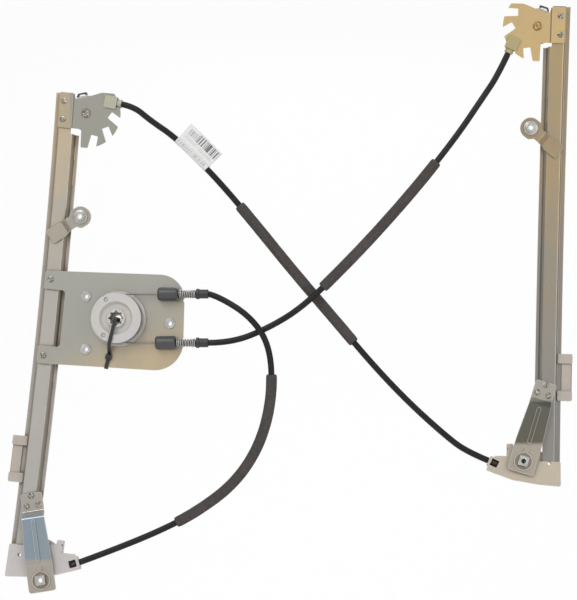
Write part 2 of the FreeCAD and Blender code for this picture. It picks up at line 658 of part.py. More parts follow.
def low_axle(side):
    """Barrel in the pulley with a riveted shank through both walls."""
    front = size.bracket_sheet - size.touch_gap - size.housing_front
    barrel_front = size.bracket_sheet - size.touch_gap + 0.02
    barrel_back = barrel_front + size.pulley_width + 2 * size.side_gap - 0.04
    back = barrel_back + 0.02 + size.housing_wall
    profile = [(0, front - 1.3, 0), (size.axle_head - 1, front - 1.3, 0),
               (size.axle_head, front - 0.6, 0.3), (size.axle_head, front - 0.02, 0),
               (size.axle_shank, front - 0.02, 0), (size.axle_shank, barrel_front, 0),
               (size.pulley_barrel, barrel_front, 0), (size.pulley_barrel, barrel_back, 0),
               (size.axle_shank, barrel_back, 0), (size.axle_shank, back + 0.02, 0),
               (size.axle_head, back + 0.02, 0), (size.axle_head, back + 0.9, 0.4),
               (0, back + 0.9, 0)]
    return keep(turned(side.name + "_low_axle", profile, low_frame(side)))


def strap_frame(side):
    """Frame on the strap's riveted pad, its length leaning towards the pulley."""
    lean = Placement(Vector(side.hand * size.strap_across, 0, 0),
                     Rotation(Vector(0, 1, 0), -side.hand * side.strap_slant))
    return on_rail(side, side.strap_station) * lean


STRAP_PAD = 9.5


def low_strap(side):
    """Folded strap: riveted pad, raised run with a bead, and a fixing pad at its foot."""
    body = new_body(side.name + "_low_strap", strap_frame(side))
    pad_front = -size.touch_gap - size.strap_sheet
    run_front = pad_front - size.strap_lift
    foot_front = strap_foot_front()
    foot = side.strap_length
    spine = [(pad_front, STRAP_PAD), (pad_front, -STRAP_PAD), (run_front, -STRAP_PAD - 7),
             (run_front, 17.5 - foot), (foot_front, 12.5 - foot), (foot_front, -foot - 12)]
    section = new_sketch(body, "YZ_Plane")
    add_loop(section, band(spine, size.strap_sheet, 1.5))
    pad(body, section, "strap_foot_half + strap_foot_half", both=True)
    trim = new_sketch(body)
    top = size.strap_top_half
    low = size.strap_foot_half - 0.01
    add_loop(trim, [(-40, -foot - 40, 0), (40, -foot - 40, 0), (40, 40, 0), (-40, 40, 0)])
    add_loop(trim, [(-low, -foot - 12, 3), (low, -foot - 12, 3), (low, 21 - foot, 20),
                    (top, -STRAP_PAD, 20), (top, STRAP_PAD, 3), (-top, STRAP_PAD, 3),
                    (-top, -STRAP_PAD, 20), (-low, 21 - foot, 20)])
    cut(body, trim)
    bead = new_sketch(body, depth="%g" % (run_front + 0.2))
    add_loop(bead, [(-2.2, 19 - foot, 2.1), (2.2, 19 - foot, 2.1), (2.2, -STRAP_PAD - 9, 2.1),
                    (-2.2, -STRAP_PAD - 9, 2.1)])
    pad(body, bead, "rail_sheet", back=False)
    lower_bead = new_sketch(body, depth="%g" % (foot_front + 0.2))
    add_loop(lower_bead, [(-2.2, 9.1 - foot, 0), (2.2, 9.1 - foot, 0), (2.2, 19.5 - foot, 2.1),
                          (-2.2, 19.5 - foot, 2.1)])
    pad(body, lower_bead, "rail_sheet", back=False)
    ring = new_sketch(body, depth="%g" % (foot_front + 0.2))
    add_circle(ring, 0, -foot, "tab_head - rail_sheet")
    add_circle(ring, 0, -foot, "tab_head - rail_sheet - rail_bend")
    pad(body, ring, "rail_sheet", back=False)
    holes = new_sketch(body)
    add_circle(holes, 0, -foot, "fixing_bore + rail_bend")
    slant = math.radians(side.strap_slant)
    for across, station in rivet_spots(side)["strap"]:
        x = across - side.hand * size.strap_across
        z = station - side.strap_station
        turn = -side.hand * slant
        add_circle(holes, x * math.cos(turn) - z * math.sin(turn),
                   x * math.sin(turn) + z * math.cos(turn), "rivet_shank + running_gap")
    cut(body, holes)
    return keep(body)


def strap_foot_front():
    return -size.touch_gap - size.strap_sheet - size.strap_lift + 2.0


def square_nut(label, frame, half, height):
    """Weld nut with its back on the sheet's front face."""
    body = new_body(label, frame)
    square = new_sketch(body)
    add_loop(square, [(-half, -half, 0.8), (half, -half, 0.8), (half, half, 0.8), (-half, half, 0.8)])
    add_circle(square, 0, 0, "fixing_bore")
    pad(body, square, height, back=False)
    return keep(body)


def tab_frame(side):
    """Frame on the base of the upper fixing tab, its Z along the tab."""
    lean = Rotation(Vector(0, 1, 0), side.hand * size.tab_slant)
    return on_rail(side, side.tab_station) * Placement(Vector(0, 0, 0), lean)


def fixing_tab(side):
    """Joggled tab: base on the rail web, round head with an embossed ring in front of it."""
    body = new_body(side.name + "_tab", tab_frame(side))
    base_front = -size.touch_gap - size.tab_sheet
    head_front = base_front - size.tab_lift
    reach = size.tab_length + size.tab_head
    spine = [(head_front, reach), (head_front, 17), (base_front, 11), (base_front, -8)]
    section = new_sketch(body, "YZ_Plane")
    add_loop(section, band(spine, size.tab_sheet, 1.0))
    pad(body, section, "tab_head + tab_head + rail_bend", both=True)
    trim = new_sketch(body)
    head = size.tab_head
    low = size.tab_length - head
    add_loop(trim, [(-40, -40, 0), (40, -40, 0), (40, reach + 20, 0), (-40, reach + 20, 0)])
    add_loop(trim, [(-8, -8, 2), (8, -8, 2), (8, 7, 3), (6.5, 11, 3), (6.5, low + 2, 2.5),
                    (head, low + 4, 6), (head, reach, head * 0.98), (-head, reach, head * 0.98),
                    (-head, low + 4, 6), (-6.5, low + 2, 2.5), (-6.5, 11, 3), (-8, 7, 3)])
    cut(body, trim)
    holes = new_sketch(body)
    add_circle(holes, 0, size.tab_length, "fixing_bore + rail_bend")
    cut(body, holes)
    return keep(body)


def tab_nut(side):
    """Round flanged weld nut on the tab's head."""
    back = -size.touch_gap - size.tab_sheet - size.tab_lift
    profile = [(size.fixing_bore, back, 0), (7.4, back, 0), (7.4, back - 1.2, 0.4),
               (5.2, back - 1.6, 0.4), (5.2, back - 4.5, 0.4), (size.fixing_bore, back - 4.5, 0)]
    frame = tab_frame(side) * Placement(Vector(0, 0, size.tab_length), Rotation())
    return keep(turned(side.name + "_tab_nut", profile, frame))


def rivet(label, side, across, station, stack):
    """Domed rivet, its tail flush with the back of the web."""
    head = -stack - 0.02
    profile = [(0, head - 1.1, 0), (size.rivet_head - 1.2, head - 1.1, 0.4),
               (size.rivet_head, head - 0.4, 0.3), (size.rivet_head, head, 0),
               (size.rivet_shank, head, 0), (size.rivet_shank, size.rail_sheet, 0),
               (0, size.rail_sheet, 0)]
    frame = on_rail(side, station) * Placement(Vector(across, 0, 0), Rotation())
    return turned(label, profile, frame)


# Sliders and their wire

def slider(side):
    """Moulded slider: block behind the rail, rib inside it, and jaws round its outer lip."""
    hand = side.hand
    body = new_body(side.name + "_carriage", on_rail(side, side.slider_station))
    half = size.slider_half
    outer = size.slider_outer
    inner = size.slider_inner
    lip_edge = size.rail_web_half + size.rail_outer_flare + size.rail_outer_lip
    back = new_sketch(body, depth=in_cells("rail_depth + slide_gap"))
    add_loop(back, [(hand * -outer, -half, 3), (hand * inner, -half + 5, 5),
                    (hand * inner, half - 5, 5), (hand * -outer, half, 3)])
    pad(body, back, "slider_back")
    boss = new_sketch(body, depth=in_cells("rail_depth + slide_gap + slider_back"))
    add_circle(boss, hand * -6.0, 0, "glass_bore + glass_bore")
    pad(body, boss, "rail_sheet")
    rib = new_sketch(body, depth=in_cells("rail_sheet + slide_gap + slide_gap"))
    add_loop(rib, [(-6.5, -17, 1.5), (6.5, -17, 1.5), (6.5, 17, 1.5), (-6.5, 17, 1.5)])
    pad(body, rib, "rail_depth - rail_sheet - slide_gap + touch_gap")
    jaw_depth = size.rail_depth - size.rail_sheet - size.slide_gap - 2.6
    for sign in (1, -1):
        low, high = sorted((sign * half, sign * (half - 10)))
        side_wall = new_sketch(body, depth="%g" % jaw_depth)
        wall = -lip_edge - size.slide_gap
        add_loop(side_wall, [(hand * -outer, low, 1.5), (hand * wall, low, 0),
                             (hand * wall, high, 0), (hand * -outer, high, 1.5)])
        pad(body, side_wall, "rail_depth + slide_gap - %g + touch_gap" % jaw_depth)
        jaw = new_sketch(body, depth="%g" % jaw_depth)
        tip = wall + 4.6
        add_loop(jaw, [(hand * -outer, low, 1.5), (hand * tip, low, 1), (hand * tip, high, 1),
                       (hand * -outer, high, 1.5)])
        pad(body, jaw, "rail_sheet + rail_sheet + touch_gap + touch_gap")
    recess = new_sketch(body, depth=in_cells("rail_depth - rail_sheet - rail_sheet"))
    add_loop(recess, [(hand * (1.5 - outer), 9 - half, 0), (hand * wall, 9 - half, 0),
                      (hand * wall, half - 9, 0), (hand * (1.5 - outer), half - 9, 0)])
    pad(body, recess, "rail_sheet + rail_sheet + slide_gap + touch_gap")
    wire = hand * (size.pulley_offset - size.pulley_wire_radius)
    groove = new_sketch(body, depth="0")
    add_loop(groove, [(wire - 1.2, -half, 0), (wire + 1.2, -half, 0), (wire + 1.2, half, 0),
                      (wire - 1.2, half, 0)])
    cut(body, groove, "wire_depth + wire_radius + slide_gap")
    pocket = new_sketch(body, depth="0")
    room = size.stop_radius + 0.15
    add_loop(pocket, [(wire - room, -4.2, 0), (wire + room, -4.2, 0), (wire + room, 4.2, 0),
                      (wire - room, 4.2, 0)])
    cut(body, pocket, "wire_depth + stop_radius + touch_gap")
    bore = new_sketch(body, depth=in_cells(
        "rail_depth + slide_gap + slider_back + rail_sheet - glass_bore_depth"))
    add_circle(bore, hand * -6.0, 0, "glass_bore")
    cut(body, bore, "glass_bore_depth + rail_bend")
    return keep(body)


def cable_stop(side):
    """Swaged barrel on the wire, in the slider's pocket."""
    wire = side.hand * (size.pulley_offset - size.pulley_wire_radius)
    profile = [(size.wire_radius + 0.12, -4.0, 0), (size.stop_radius, -4.0, 0.4),
               (size.stop_radius, 4.0, 0.4), (size.wire_radius + 0.12, 4.0, 0)]
    upright = Placement(Vector(wire, size.wire_depth, 0), Rotation(Vector(1, 0, 0), 90))
    frame = on_rail(side, side.slider_station) * upright
    return keep(turned(side.name + "_cable_stop", profile, frame))


def swept(label, edges, radius):
    """Round bar along a path of straight runs and tangent arcs."""
    path = Part.Wire(edges)
    start = edges[0].valueAt(edges[0].FirstParameter)
    tangent = edges[0].tangentAt(edges[0].FirstParameter)
    ring = Part.Wire(Part.makeCircle(radius, start, tangent))
    return path.makePipeShell([ring], True, False)


def add_shape(label, shape):
    feature = doc.addObject("Part::Feature", label)
    feature.Label = label
    feature.Shape = shape
    return feature


def rail_cable(side):
    """Bare wire from socket to socket: round both pulleys and along the rail's channel."""
    hand = side.hand
    upper = on_rail(side, side.top_station)
    lower = on_rail(side, side.low_station)

    def spot(frame, angle, along=0.0, heading=0.0):
        x = size.pulley_offset + size.pulley_wire_radius * math.cos(math.radians(angle))
        z = size.pulley_wire_radius * math.sin(math.radians(angle))
        x += along * math.cos(math.radians(heading))
        z += along * math.sin(math.radians(heading))
        return frame.multVec(Vector(hand * x, size.wire_depth, z))

    low_turn = side.lower_exit - 90
    top_turn = side.upper_exit + 90
    inside = size.socket_reach - size.collar_length
    inside_top = side.upper_reach - size.collar_length
    middle = (side.top_station + side.low_station) / 2
    halfway = on_rail(side, middle).multVec(
        Vector(hand * (size.pulley_offset - size.pulley_wire_radius), size.wire_depth, 0))
    edges = [
        Part.LineSegment(spot(lower, low_turn, inside, side.lower_exit), spot(lower, low_turn)),
        Part.Arc(spot(lower, low_turn), spot(lower, (low_turn - 180) / 2), spot(lower, -180)),
        Part.Arc(spot(lower, 180), halfway, spot(upper, 180)),
        Part.Arc(spot(upper, 180), spot(upper, (180 + top_turn) / 2), spot(upper, top_turn)),
        Part.LineSegment(spot(upper, top_turn), spot(upper, top_turn, inside_top, side.upper_exit)),
    ]
    shape = swept(side.name, [edge.toShape() for edge in edges], size.wire_radius)
    return keep(add_shape(side.name + "_rail_cable", shape))


# Drum plate

def rail_point(side, across, up):
    """Point of the rail's frame seen from the front, as (X, Z)."""
    spot = on_rail(side, 0).multVec(Vector(across, 0, up))
    return spot.x, spot.z


INSERTS = [(-34.5, 23.5), (-34.5, -32.0), (54.0, -5.0)]


def drum_plate():
    """Plate with two arms riveted over the left rail and a spigot for the drum."""
    left = SIDES["left"]
    body = new_body("drum_plate")
    edge = 0.5 - size.rail_web_half
    inner = size.rail_web_half + size.rail_inner_flare + size.rail_inner_lip + 2.0
    corners = []
    for across, up, radius in ((edge, size.plate_arm_reach, 3),
                               (edge, size.plate_notch_top, 2), (inner, size.plate_notch_top, 4),
                               (inner, -size.plate_notch_bottom, 4),
                               (edge, -size.plate_notch_bottom, 2), (edge, -size.plate_arm_drop, 3)):
        x, z = rail_point(left, across, up)
        corners.append((x, z, radius))
    corners += [(size.plate_right - 2.5, -size.plate_bottom, 30), (size.plate_right, size.plate_top, 26)]
    outline = new_sketch(body)
    add_loop(outline, corners)
    pad(body, outline, "plate_sheet")
    spigot = new_sketch(body, depth="0.1")
    add_circle(spigot, 0, 0, "collar_outer")
    pad(body, spigot, "collar_height + touch_gap", back=False)
    holes = new_sketch(body)
    add_circle(holes, 0, 0, "spindle_hole")
    for x, z in INSERTS:
        add_circle(holes, x, z, "insert_barrel + running_gap")
    for across, station in rivet_spots(left)["plate"]:
        x, z = rail_point(left, across, station)
        add_circle(holes, x, z, "rivet_shank + touch_gap")
    for z in (18.9, -34.7):
        add_circle(holes, size.plate_right + 0.2, z, "rivet_shank")
    cut(body, holes)
    return keep(body)


def motor_inserts():
    """Three threaded inserts pressed through the plate."""
    members = []
    for index, (x, z) in enumerate(INSERTS):
        head = -0.02
        profile = [(size.insert_bore, head - 1.0, 0), (size.insert_barrel + 1.2, head - 1.0, 0.3),
                   (size.insert_barrel + 1.2, head, 0), (size.insert_barrel, head, 0),
                   (size.insert_barrel, size.plate_sheet + size.insert_length, 0.5),
                   (size.insert_bore, size.plate_sheet + size.insert_length, 0)]
        members.append(turned("insert_%d" % (index + 1), profile, Placement(Vector(x, 0, z), Rotation())))
    return keep(group("motor_inserts", members))


# Drum

GROOVES = (-3, -2, -1, 0, 1, 2)


def drum():
    """Grooved drum, dished in front, with a splined drive bore and two wire-end pockets."""
    rear = -size.side_gap
    front = -size.drum_front
    root = size.drum_wire_radius - size.wire_radius - 0.15
    seat = size.collar_outer + size.running_gap
    seat_end = -size.collar_height - size.side_gap
    profile = [(seat, rear, 0), (drum_flange, rear, 0.3), (drum_flange, rear - 1.4, 0.3),
               (drum_crest, rear - 1.6, 0)]
    half = size.wire_radius + 0.2
    floor_half = size.wire_radius
    for number in reversed(GROOVES):
        middle = number * size.groove_pitch - size.drum_wire_depth
        profile += [(drum_crest, middle + half, 0), (root, middle + floor_half, 0),
                    (root, middle - floor_half, 0), (drum_crest, middle - half, 0)]
    profile += [(drum_crest, front, 0.5), (17.5, front, 0.5), (15.5, front + 4.0, 1.0),
                (9.8, front + 4.0, 1.0), (9.4, front + 0.5, 0.5), (size.drive_bore, front + 0.5, 0),
                (size.drive_bore, seat_end, 0), (seat, seat_end, 0)]
    body = turned("cable_drum", profile, Placement())
    spline = new_sketch(body, depth="%g" % (front - 1))
    for index in range(8):
        angle = math.radians(index * 45)
        along = Vector(math.cos(angle), math.sin(angle), 0)
        across = Vector(-along.y, along.x, 0) * 1.1
        spots = [along * (size.drive_bore - 0.5) - across, along * (size.drive_bore + 1.3) - across * 0.7,
                 along * (size.drive_bore + 1.3) + across * 0.7, along * (size.drive_bore - 0.5) + across]
        add_loop(spline, [(spot.x, spot.y, 0) for spot in spots])
    cut(body, spline, "drum_front - collar_height - collar_height")
    pockets = new_sketch(body, depth="%g" % (front - 1))
    for x, z in end_spots():
        add_circle(pockets, x, z, "stop_radius + side_gap")
    cut(body, pockets, "drum_wire_depth + rail_bend + rail_bend")
    return keep(body)


def end_spots():
    radius = size.drum_wire_radius - size.end_inset
    return [(radius * math.cos(math.radians(angle)), radius * math.sin(math.radians(angle)))
            for angle in (118, 234)]


def drum_cable():
    """Turns of wire in the drum's grooves."""
    turns = []
    for number in GROOVES[1:-1]:
        ring = doc.addObject("Part::Torus", "drum_turn")
        ring.setExpression("Radius1", "Sizes.drum_wire_radius")
        ring.setExpression("Radius2", "Sizes.wire_radius")
        depth = number * size.groove_pitch - size.drum_wire_depth
        ring.Placement = Placement(Vector(0, depth, 0), Rotation(Vector(1, 0, 0), 90))
        turns.append(ring)
    return keep(group("drum_cable", turns))


def cable_ends():
    """Swaged wire ends in the drum's pockets."""
    members = []
    for index, (x, z) in enumerate(end_spots()):
        end = doc.addObject("Part::Cylinder", "wire_end_%d" % (index + 1))
        end.setExpression("Radius", "Sizes.stop_radius")
        end.setExpression("Height", "Sizes.drum_wire_depth")
        end.Placement = Placement(Vector(x, 0.9 - size.drum_front, z), Rotation(Vector(1, 0, 0), -90))
        members.append(end)
    return keep(group("cable_ends", members))


# Slack take-up between the drum and its conduits

def along_x(start, rise):
    """Frame whose Y runs along +X from a point on a drum wire."""
    return Placement(Vector(start, -size.drum_wire_depth, rise), Rotation(Vector(0, 0, 1), -90))


def take_up(name, start, rise):
    """Ferrule on the plate, coil spring behind it and conduit cap."""
    bore = size.wire_radius + size.side_gap
    full = size.ferrule_radius
    length = size.ferrule_length
    profile = [(bore, 0, 0), (4.4, 0, 0.5), (4.8, 4.0, 0), (full - 0.6, 4.6, 0.5), (full - 0.6, 8.4, 0.3),
               (full, 8.8, 0.3), (full, 11.0, 0.3), (5.8, 11.4, 0.3), (5.8, 15.6, 0.3), (full, 16, 0.3),
               (full, length, 0.4), (bore, length, 0)]
    keep(turned(name + "_ferrule", profile, along_x(start, rise)))
    first = start + length + 0.1
    free = size.cap_start - first - 0.1
    coils = 7
    pitch = free / coils
    inside = size.spring_radius - 1.7
    outside = [(size.spring_radius, 0, 0)]
    for index in range(coils):
        outside += [(size.spring_radius, pitch * (index + 0.45), 0.3)]
        if index < coils - 1:
            outside += [(size.spring_radius - 0.8, pitch * (index + 0.725), 0),
                        (size.spring_radius, pitch * (index + 1), 0.3)]
    outside[-1] = (size.spring_radius, free, 0)
    keep(turned(name + "_spring", [(inside, 0, 0)] + outside + [(inside, free, 0)],
                along_x(first, rise)))
    radius = size.cap_radius
    cap = [(bore, 0, 0), (radius, 0, 0.5), (radius, 3.0, 0.3), (radius - 0.8, 3.4, 0),
           (radius - 0.8, size.cap_length, 0.5), (bore, size.cap_length, 0)]
    keep(turned(name + "_cap", cap, along_x(size.cap_start, rise)))


def drum_cable_runs():
    """Bare wire from the drum through each ferrule to its conduit."""
    members = []
    for rise in (size.drum_wire_radius, -size.drum_wire_radius):
        run = doc.addObject("Part::Cylinder", "drum_run")
        run.setExpression("Radius", "Sizes.wire_radius")
        start = 9.4
        run.Height = size.cap_start + size.cap_length - start
        run.Placement = Placement(Vector(start, -size.drum_wire_depth, rise), Rotation(Vector(0, 1, 0), 90))
        members.append(run)
    return keep(group("drum_cable_runs", members))


# Conduits

def route_edges(points):
    """Straight runs joined by tangent arcs, each as large as its two runs allow."""
    edges = []
    last = points[0]
    radii = []
    for before, corner, after in zip(points, points[1:], points[2:]):
        into = before - corner
        out = after - corner
        reach = 0.45 * min(into.Length, out.Length)
        half = into.getAngle(out) / 2
        radius = reach * math.tan(half)
        into.normalize()
        out.normalize()
        entry = corner + into * reach
        leave = corner + out * reach
        middle = corner + (into + out).normalize() * (radius / math.sin(half) - radius)
        edges.append(Part.LineSegment(last, entry).toShape())
        edges.append(Part.Arc(entry, middle, leave).toShape())
        radii.append(radius)
        last = leave
    edges.append(Part.LineSegment(last, points[-1]).toShape())
    return edges, radii


def mouth(frame, reach, lead):
    """Mouth of a socket and the point that the conduit heads for."""
    start = frame.multVec(Vector(reach, size.wire_depth, 0))
    return start, start + frame.Rotation.multVec(Vector(1, 0, 0)) * lead


def upper_socket(side):
    across, up = wire_line(side.upper_exit, True)
    return on_rail(side, side.top_station) * aimed(
        side, size.pulley_offset + across, up, side.upper_exit)


def lower_socket(side):
    across, up = wire_line(side.lower_exit, False)
    return on_rail(side, side.low_station) * aimed(
        side, size.pulley_offset + across, up, side.lower_exit)


def drum_mouth(rise, lead):
    start = Vector(size.cap_start + size.cap_length, -size.drum_wire_depth, rise)
    return start, start + Vector(lead, 0, 0)


def conduit(name, points, sleeve_runs):
    """Conduit along its route, and the foam sleeve between the middles of two of its runs."""
    edges, radii = route_edges(points)
    length = sum(edge.Length for edge in edges)
    tube = swept(name, edges, size.conduit_radius)
    expected = math.pi * size.conduit_radius ** 2 * length
    if abs(tube.Volume - expected) > 0.01 * expected:
        raise RuntimeError("%s does not fill its route" % name)
    print("%s: length %.1f, radii %s" % (name, length, " ".join("%.0f" % radius for radius in radii)))
    for index, point in enumerate(points):
        print("   %d (%.1f, %.1f, %.1f)" % (index, point.x, point.y, point.z))
    keep(add_shape("conduit_" + name, tube))
    first, last = sleeve_runs
    middle = [(points[run] + points[run + 1]) * 0.5 for run in (first, last)]
    part = [Part.LineSegment(middle[0], edges[2 * first].Vertexes[-1].Point).toShape()]
    part += edges[2 * first + 1:2 * last]
    part += [Part.LineSegment(edges[2 * last].Vertexes[0].Point, middle[1]).toShape()]
    outer = swept(name, part, size.sleeve_radius)
    inner = swept(name, part, size.conduit_radius + size.touch_gap)
    keep(add_shape("sleeve_" + name, outer.cut(inner)))


def route(start, chosen, end):
    """Route from one mouth to another through points chosen by hand."""
    return [start[0], start[1]] + [Vector(*point) for point in chosen] + [end[1], end[0]]


def label_tag(first, second):
    """Blank paper flag folded round a straight stretch of a conduit."""
    along = (second - first).normalize()
    upward = Vector(along.z, 0, -along.x).normalize() * -1
    depth = upward.cross(along)
    frame = Placement(FreeCAD.Matrix(along.x, depth.x, upward.x, 0, along.y, depth.y, upward.y, 0,
                                     along.z, depth.z, upward.z, 0, 0, 0, 0, 1))
    frame.Base = (first + second) * 0.5
    body = new_body("label_tag", frame)
    inside = size.conduit_radius + 0.4
    ring = new_sketch(body, "YZ_Plane")
    add_circle(ring, 0, 0, "conduit_radius + slide_gap + slide_gap")
    add_circle(ring, 0, 0, "conduit_radius + slide_gap")
    pad(body, ring, "tag_length", both=True)
    flag = new_sketch(body, "YZ_Plane")
    add_loop(flag, [(-0.3, inside, 0), (0.3, inside, 0), (0.3, inside + size.tag_reach, 0),
                    (-0.3, inside + size.tag_reach, 0)])
    pad(body, flag, "tag_length", both=True)
    return keep(body)


TIE_HEADING = 14.0


def cable_tie():
    """Transport tie: through the drum's bore, over its face and round the plate's lower edge."""
    heading = TIE_HEADING
    body = new_body("cable_tie", Placement(Vector(0, 0, 0), Rotation(Vector(0, 1, 0), 180 + heading)))
    face = -size.drum_front - size.side_gap
    behind = size.plate_sheet + size.side_gap
    edge = plate_edge_below(heading) + size.side_gap + 0.2
    thick = size.tie_sheet
    kink = size.tie_head_start - 1
    inner = [(0, face, 1.5), (drum_crest + 1, face, 3), (kink, -size.side_gap, 3),
             (edge, -size.side_gap, 0.5), (edge, behind, 0.5), (0, behind, 0.8)]
    outer = [(-thick, face - thick, 2), (drum_crest + 2, face - thick, 4),
             (kink + 1, -size.side_gap - thick, 4), (edge + thick, -size.side_gap - thick, 1.5),
             (edge + thick, behind + thick, 1.5), (-thick, behind + thick, 1.5)]
    profile = new_sketch(body, "YZ_Plane")
    add_loop(profile, [(depth, along, radius) for along, depth, radius in outer])
    add_loop(profile, [(depth, along, radius) for along, depth, radius in inner])
    pad(body, profile, "tie_width", both=True)
    head = new_sketch(body, "YZ_Plane")
    head_front = -size.side_gap - thick - 3.2
    near = size.tie_head_start
    far = near + size.tie_head_length
    add_loop(head, [(head_front, near, 0.8), (-size.side_gap, near, 0), (-size.side_gap, far, 0),
                    (head_front, far, 0.8)])
    pad(body, head, "tie_width + tie_sheet + rail_bend", both=True)
    return keep(body)


def plate_edge_below(heading):
    """Distance from the drum's axis to the plate's lower edge along the tie."""
    first = Vector(*rail_point(SIDES["left"], 0.5 - size.rail_web_half, -size.plate_arm_drop), 0)
    run = Vector(size.plate_right - 2.5, -size.plate_bottom, 0) - first
    along = Vector(-math.sin(math.radians(heading)), -math.cos(math.radians(heading)), 0)
    return first.cross(run).z / along.cross(run).z


for part_side in SIDES.values():
    rail(part_side)
    top_bracket(part_side)
    upper_frame = on_rail(part_side, part_side.top_station) * Placement(
        Vector(part_side.hand * size.pulley_offset, 0, 0), Rotation())
    pulley(part_side.name + "_top_pulley", upper_frame)
    top_axle(part_side, upper_frame)
    cable_keeper(part_side)
    top_fitting(part_side)
    low_bracket(part_side)
    pulley(part_side.name + "_low_pulley", low_frame(part_side))
    low_axle(part_side)
    low_strap(part_side)
    nut_place = Placement(Vector(0, strap_foot_front(), -part_side.strap_length), Rotation())
    square_nut(part_side.name + "_low_nut", strap_frame(part_side) * nut_place, 5.0,
               "insert_barrel + rail_bend")
    fixing_tab(part_side)
    tab_nut(part_side)
    slider(part_side)
    cable_stop(part_side)
    rail_cable(part_side)

left, right = SIDES["left"], SIDES["right"]
drum_plate()
motor_inserts()
drum()
drum_cable()
cable_ends()
take_up("upper", size.upper_ferrule_start, size.drum_wire_radius)
take_up("lower", size.lower_ferrule_start, -size.drum_wire_radius)
drum_cable_runs()

flange_seat = size.flange_top ** 2 / (2 * size.rail_curve_radius) + size.touch_gap
stacks = {"bracket": flange_seat + size.bracket_sheet, "strap": size.touch_gap + size.strap_sheet,
          "plate": web_front}
for kind, stack in stacks.items():
    members = []
    for part_side in SIDES.values():
        for across, station in rivet_spots(part_side).get(kind, []):
            members.append(rivet("%s_rivet_%d" % (kind, len(members) + 1), part_side, across,
                                 station, stack))
    keep(group(kind + "_rivets", members))

conduit("a", route(mouth(upper_socket(left), left.upper_reach, 13), [
    (35, -7.5, 209.5), (60, -5.5, 188), (105.5, -3, 144), (147.5, 0, 96.5), (187.5, 3, 46.5), (227.5, 3, -1),
    (267, 0, -47), (305, -4, -87), (341, -7, -121.5),
], mouth(lower_socket(right), size.socket_reach, 26)), (4, 7))
conduit("b", route(drum_mouth(-size.drum_wire_radius, 25), [
    (157, -4, -10), (193.5, -9.5, 14.5), (235.5, -11, 53.5), (275.5, -9, 97.5), (316.5, -8, 145),
    (353.5, -8, 192), (382, -8, 233),
], mouth(upper_socket(right), right.upper_reach, 26)), (3, 6))
conduit("c", route(drum_mouth(size.drum_wire_radius, 16), [
    (136, -14, 8), (156.5, -15, -31.5), (160.5, -11, -81), (148, -9, -128), (121.5, -8, -171),
    (84.5, -8, -199.5), (43.5, -9, -221.5),
], mouth(lower_socket(left), size.socket_reach, 30)), (3, 7))
label_tag(Vector(60, -5.5, 188), Vector(105.5, -3, 144))
cable_tie()


# Check and write

doc.recompute()
for item in doc.Objects:
    if "Invalid" in item.State or "Error" in item.State:
        raise RuntimeError("%s failed: %s" % (item.Label, item.State))
for piece in nodes:
    if piece.Shape.isNull() or not piece.Shape.isValid():
        raise RuntimeError("%s has no valid shape" % piece.Label)
os.makedirs("parts", exist_ok=True)
for piece in nodes:
    piece.Shape.exportStep("parts/%s.step" % piece.Label)
    print("%-22s solids %d  volume %9.1f" % (piece.Label, len(piece.Shape.Solids), piece.Shape.Volume))
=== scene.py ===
import math

import bpy
import numpy as np
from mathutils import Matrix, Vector


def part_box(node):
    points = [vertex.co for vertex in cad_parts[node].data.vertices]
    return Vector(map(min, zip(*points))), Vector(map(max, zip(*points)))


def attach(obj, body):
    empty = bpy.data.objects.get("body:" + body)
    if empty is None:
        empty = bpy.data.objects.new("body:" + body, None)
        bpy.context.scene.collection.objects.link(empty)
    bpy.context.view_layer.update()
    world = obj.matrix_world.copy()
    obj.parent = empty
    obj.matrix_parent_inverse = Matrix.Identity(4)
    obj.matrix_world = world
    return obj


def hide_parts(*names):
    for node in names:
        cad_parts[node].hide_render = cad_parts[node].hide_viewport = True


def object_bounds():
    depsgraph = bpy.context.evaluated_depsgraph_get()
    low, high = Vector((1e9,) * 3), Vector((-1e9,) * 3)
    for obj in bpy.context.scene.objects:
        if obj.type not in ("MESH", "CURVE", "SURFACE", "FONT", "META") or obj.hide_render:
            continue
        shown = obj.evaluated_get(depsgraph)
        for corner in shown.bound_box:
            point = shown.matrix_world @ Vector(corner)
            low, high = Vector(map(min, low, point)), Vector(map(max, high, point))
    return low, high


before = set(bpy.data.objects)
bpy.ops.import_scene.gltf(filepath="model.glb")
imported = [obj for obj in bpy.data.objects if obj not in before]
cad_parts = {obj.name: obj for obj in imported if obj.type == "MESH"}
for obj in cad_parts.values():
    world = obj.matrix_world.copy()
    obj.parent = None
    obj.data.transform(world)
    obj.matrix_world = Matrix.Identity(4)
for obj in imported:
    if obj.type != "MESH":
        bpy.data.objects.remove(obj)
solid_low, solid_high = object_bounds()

bl_info = {
    "name": "Window Regulator Dressing",
    "version": (1, 0, 0),
    "blender": (4, 5, 0),
    "location": "3D View > Sidebar > Regulator",
    "description": "Finishes, conduits, foam, ferrules, springs and flag of a window regulator",
    "category": "Object",
}


# Settings

def length_setting(name, description, default):
    """Length in metres, with the name and description that the sidebar shows."""
    return bpy.props.FloatProperty(name=name, description=description, default=default,
                                   subtype="DISTANCE", unit="LENGTH", min=0.0, precision=5)


def colour_setting(name, description, default):
    """Colour that the sidebar shows as a swatch."""
    return bpy.props.FloatVectorProperty(name=name, description=description, default=default,
                                         subtype="COLOR", size=3, min=0.0, max=1.0)


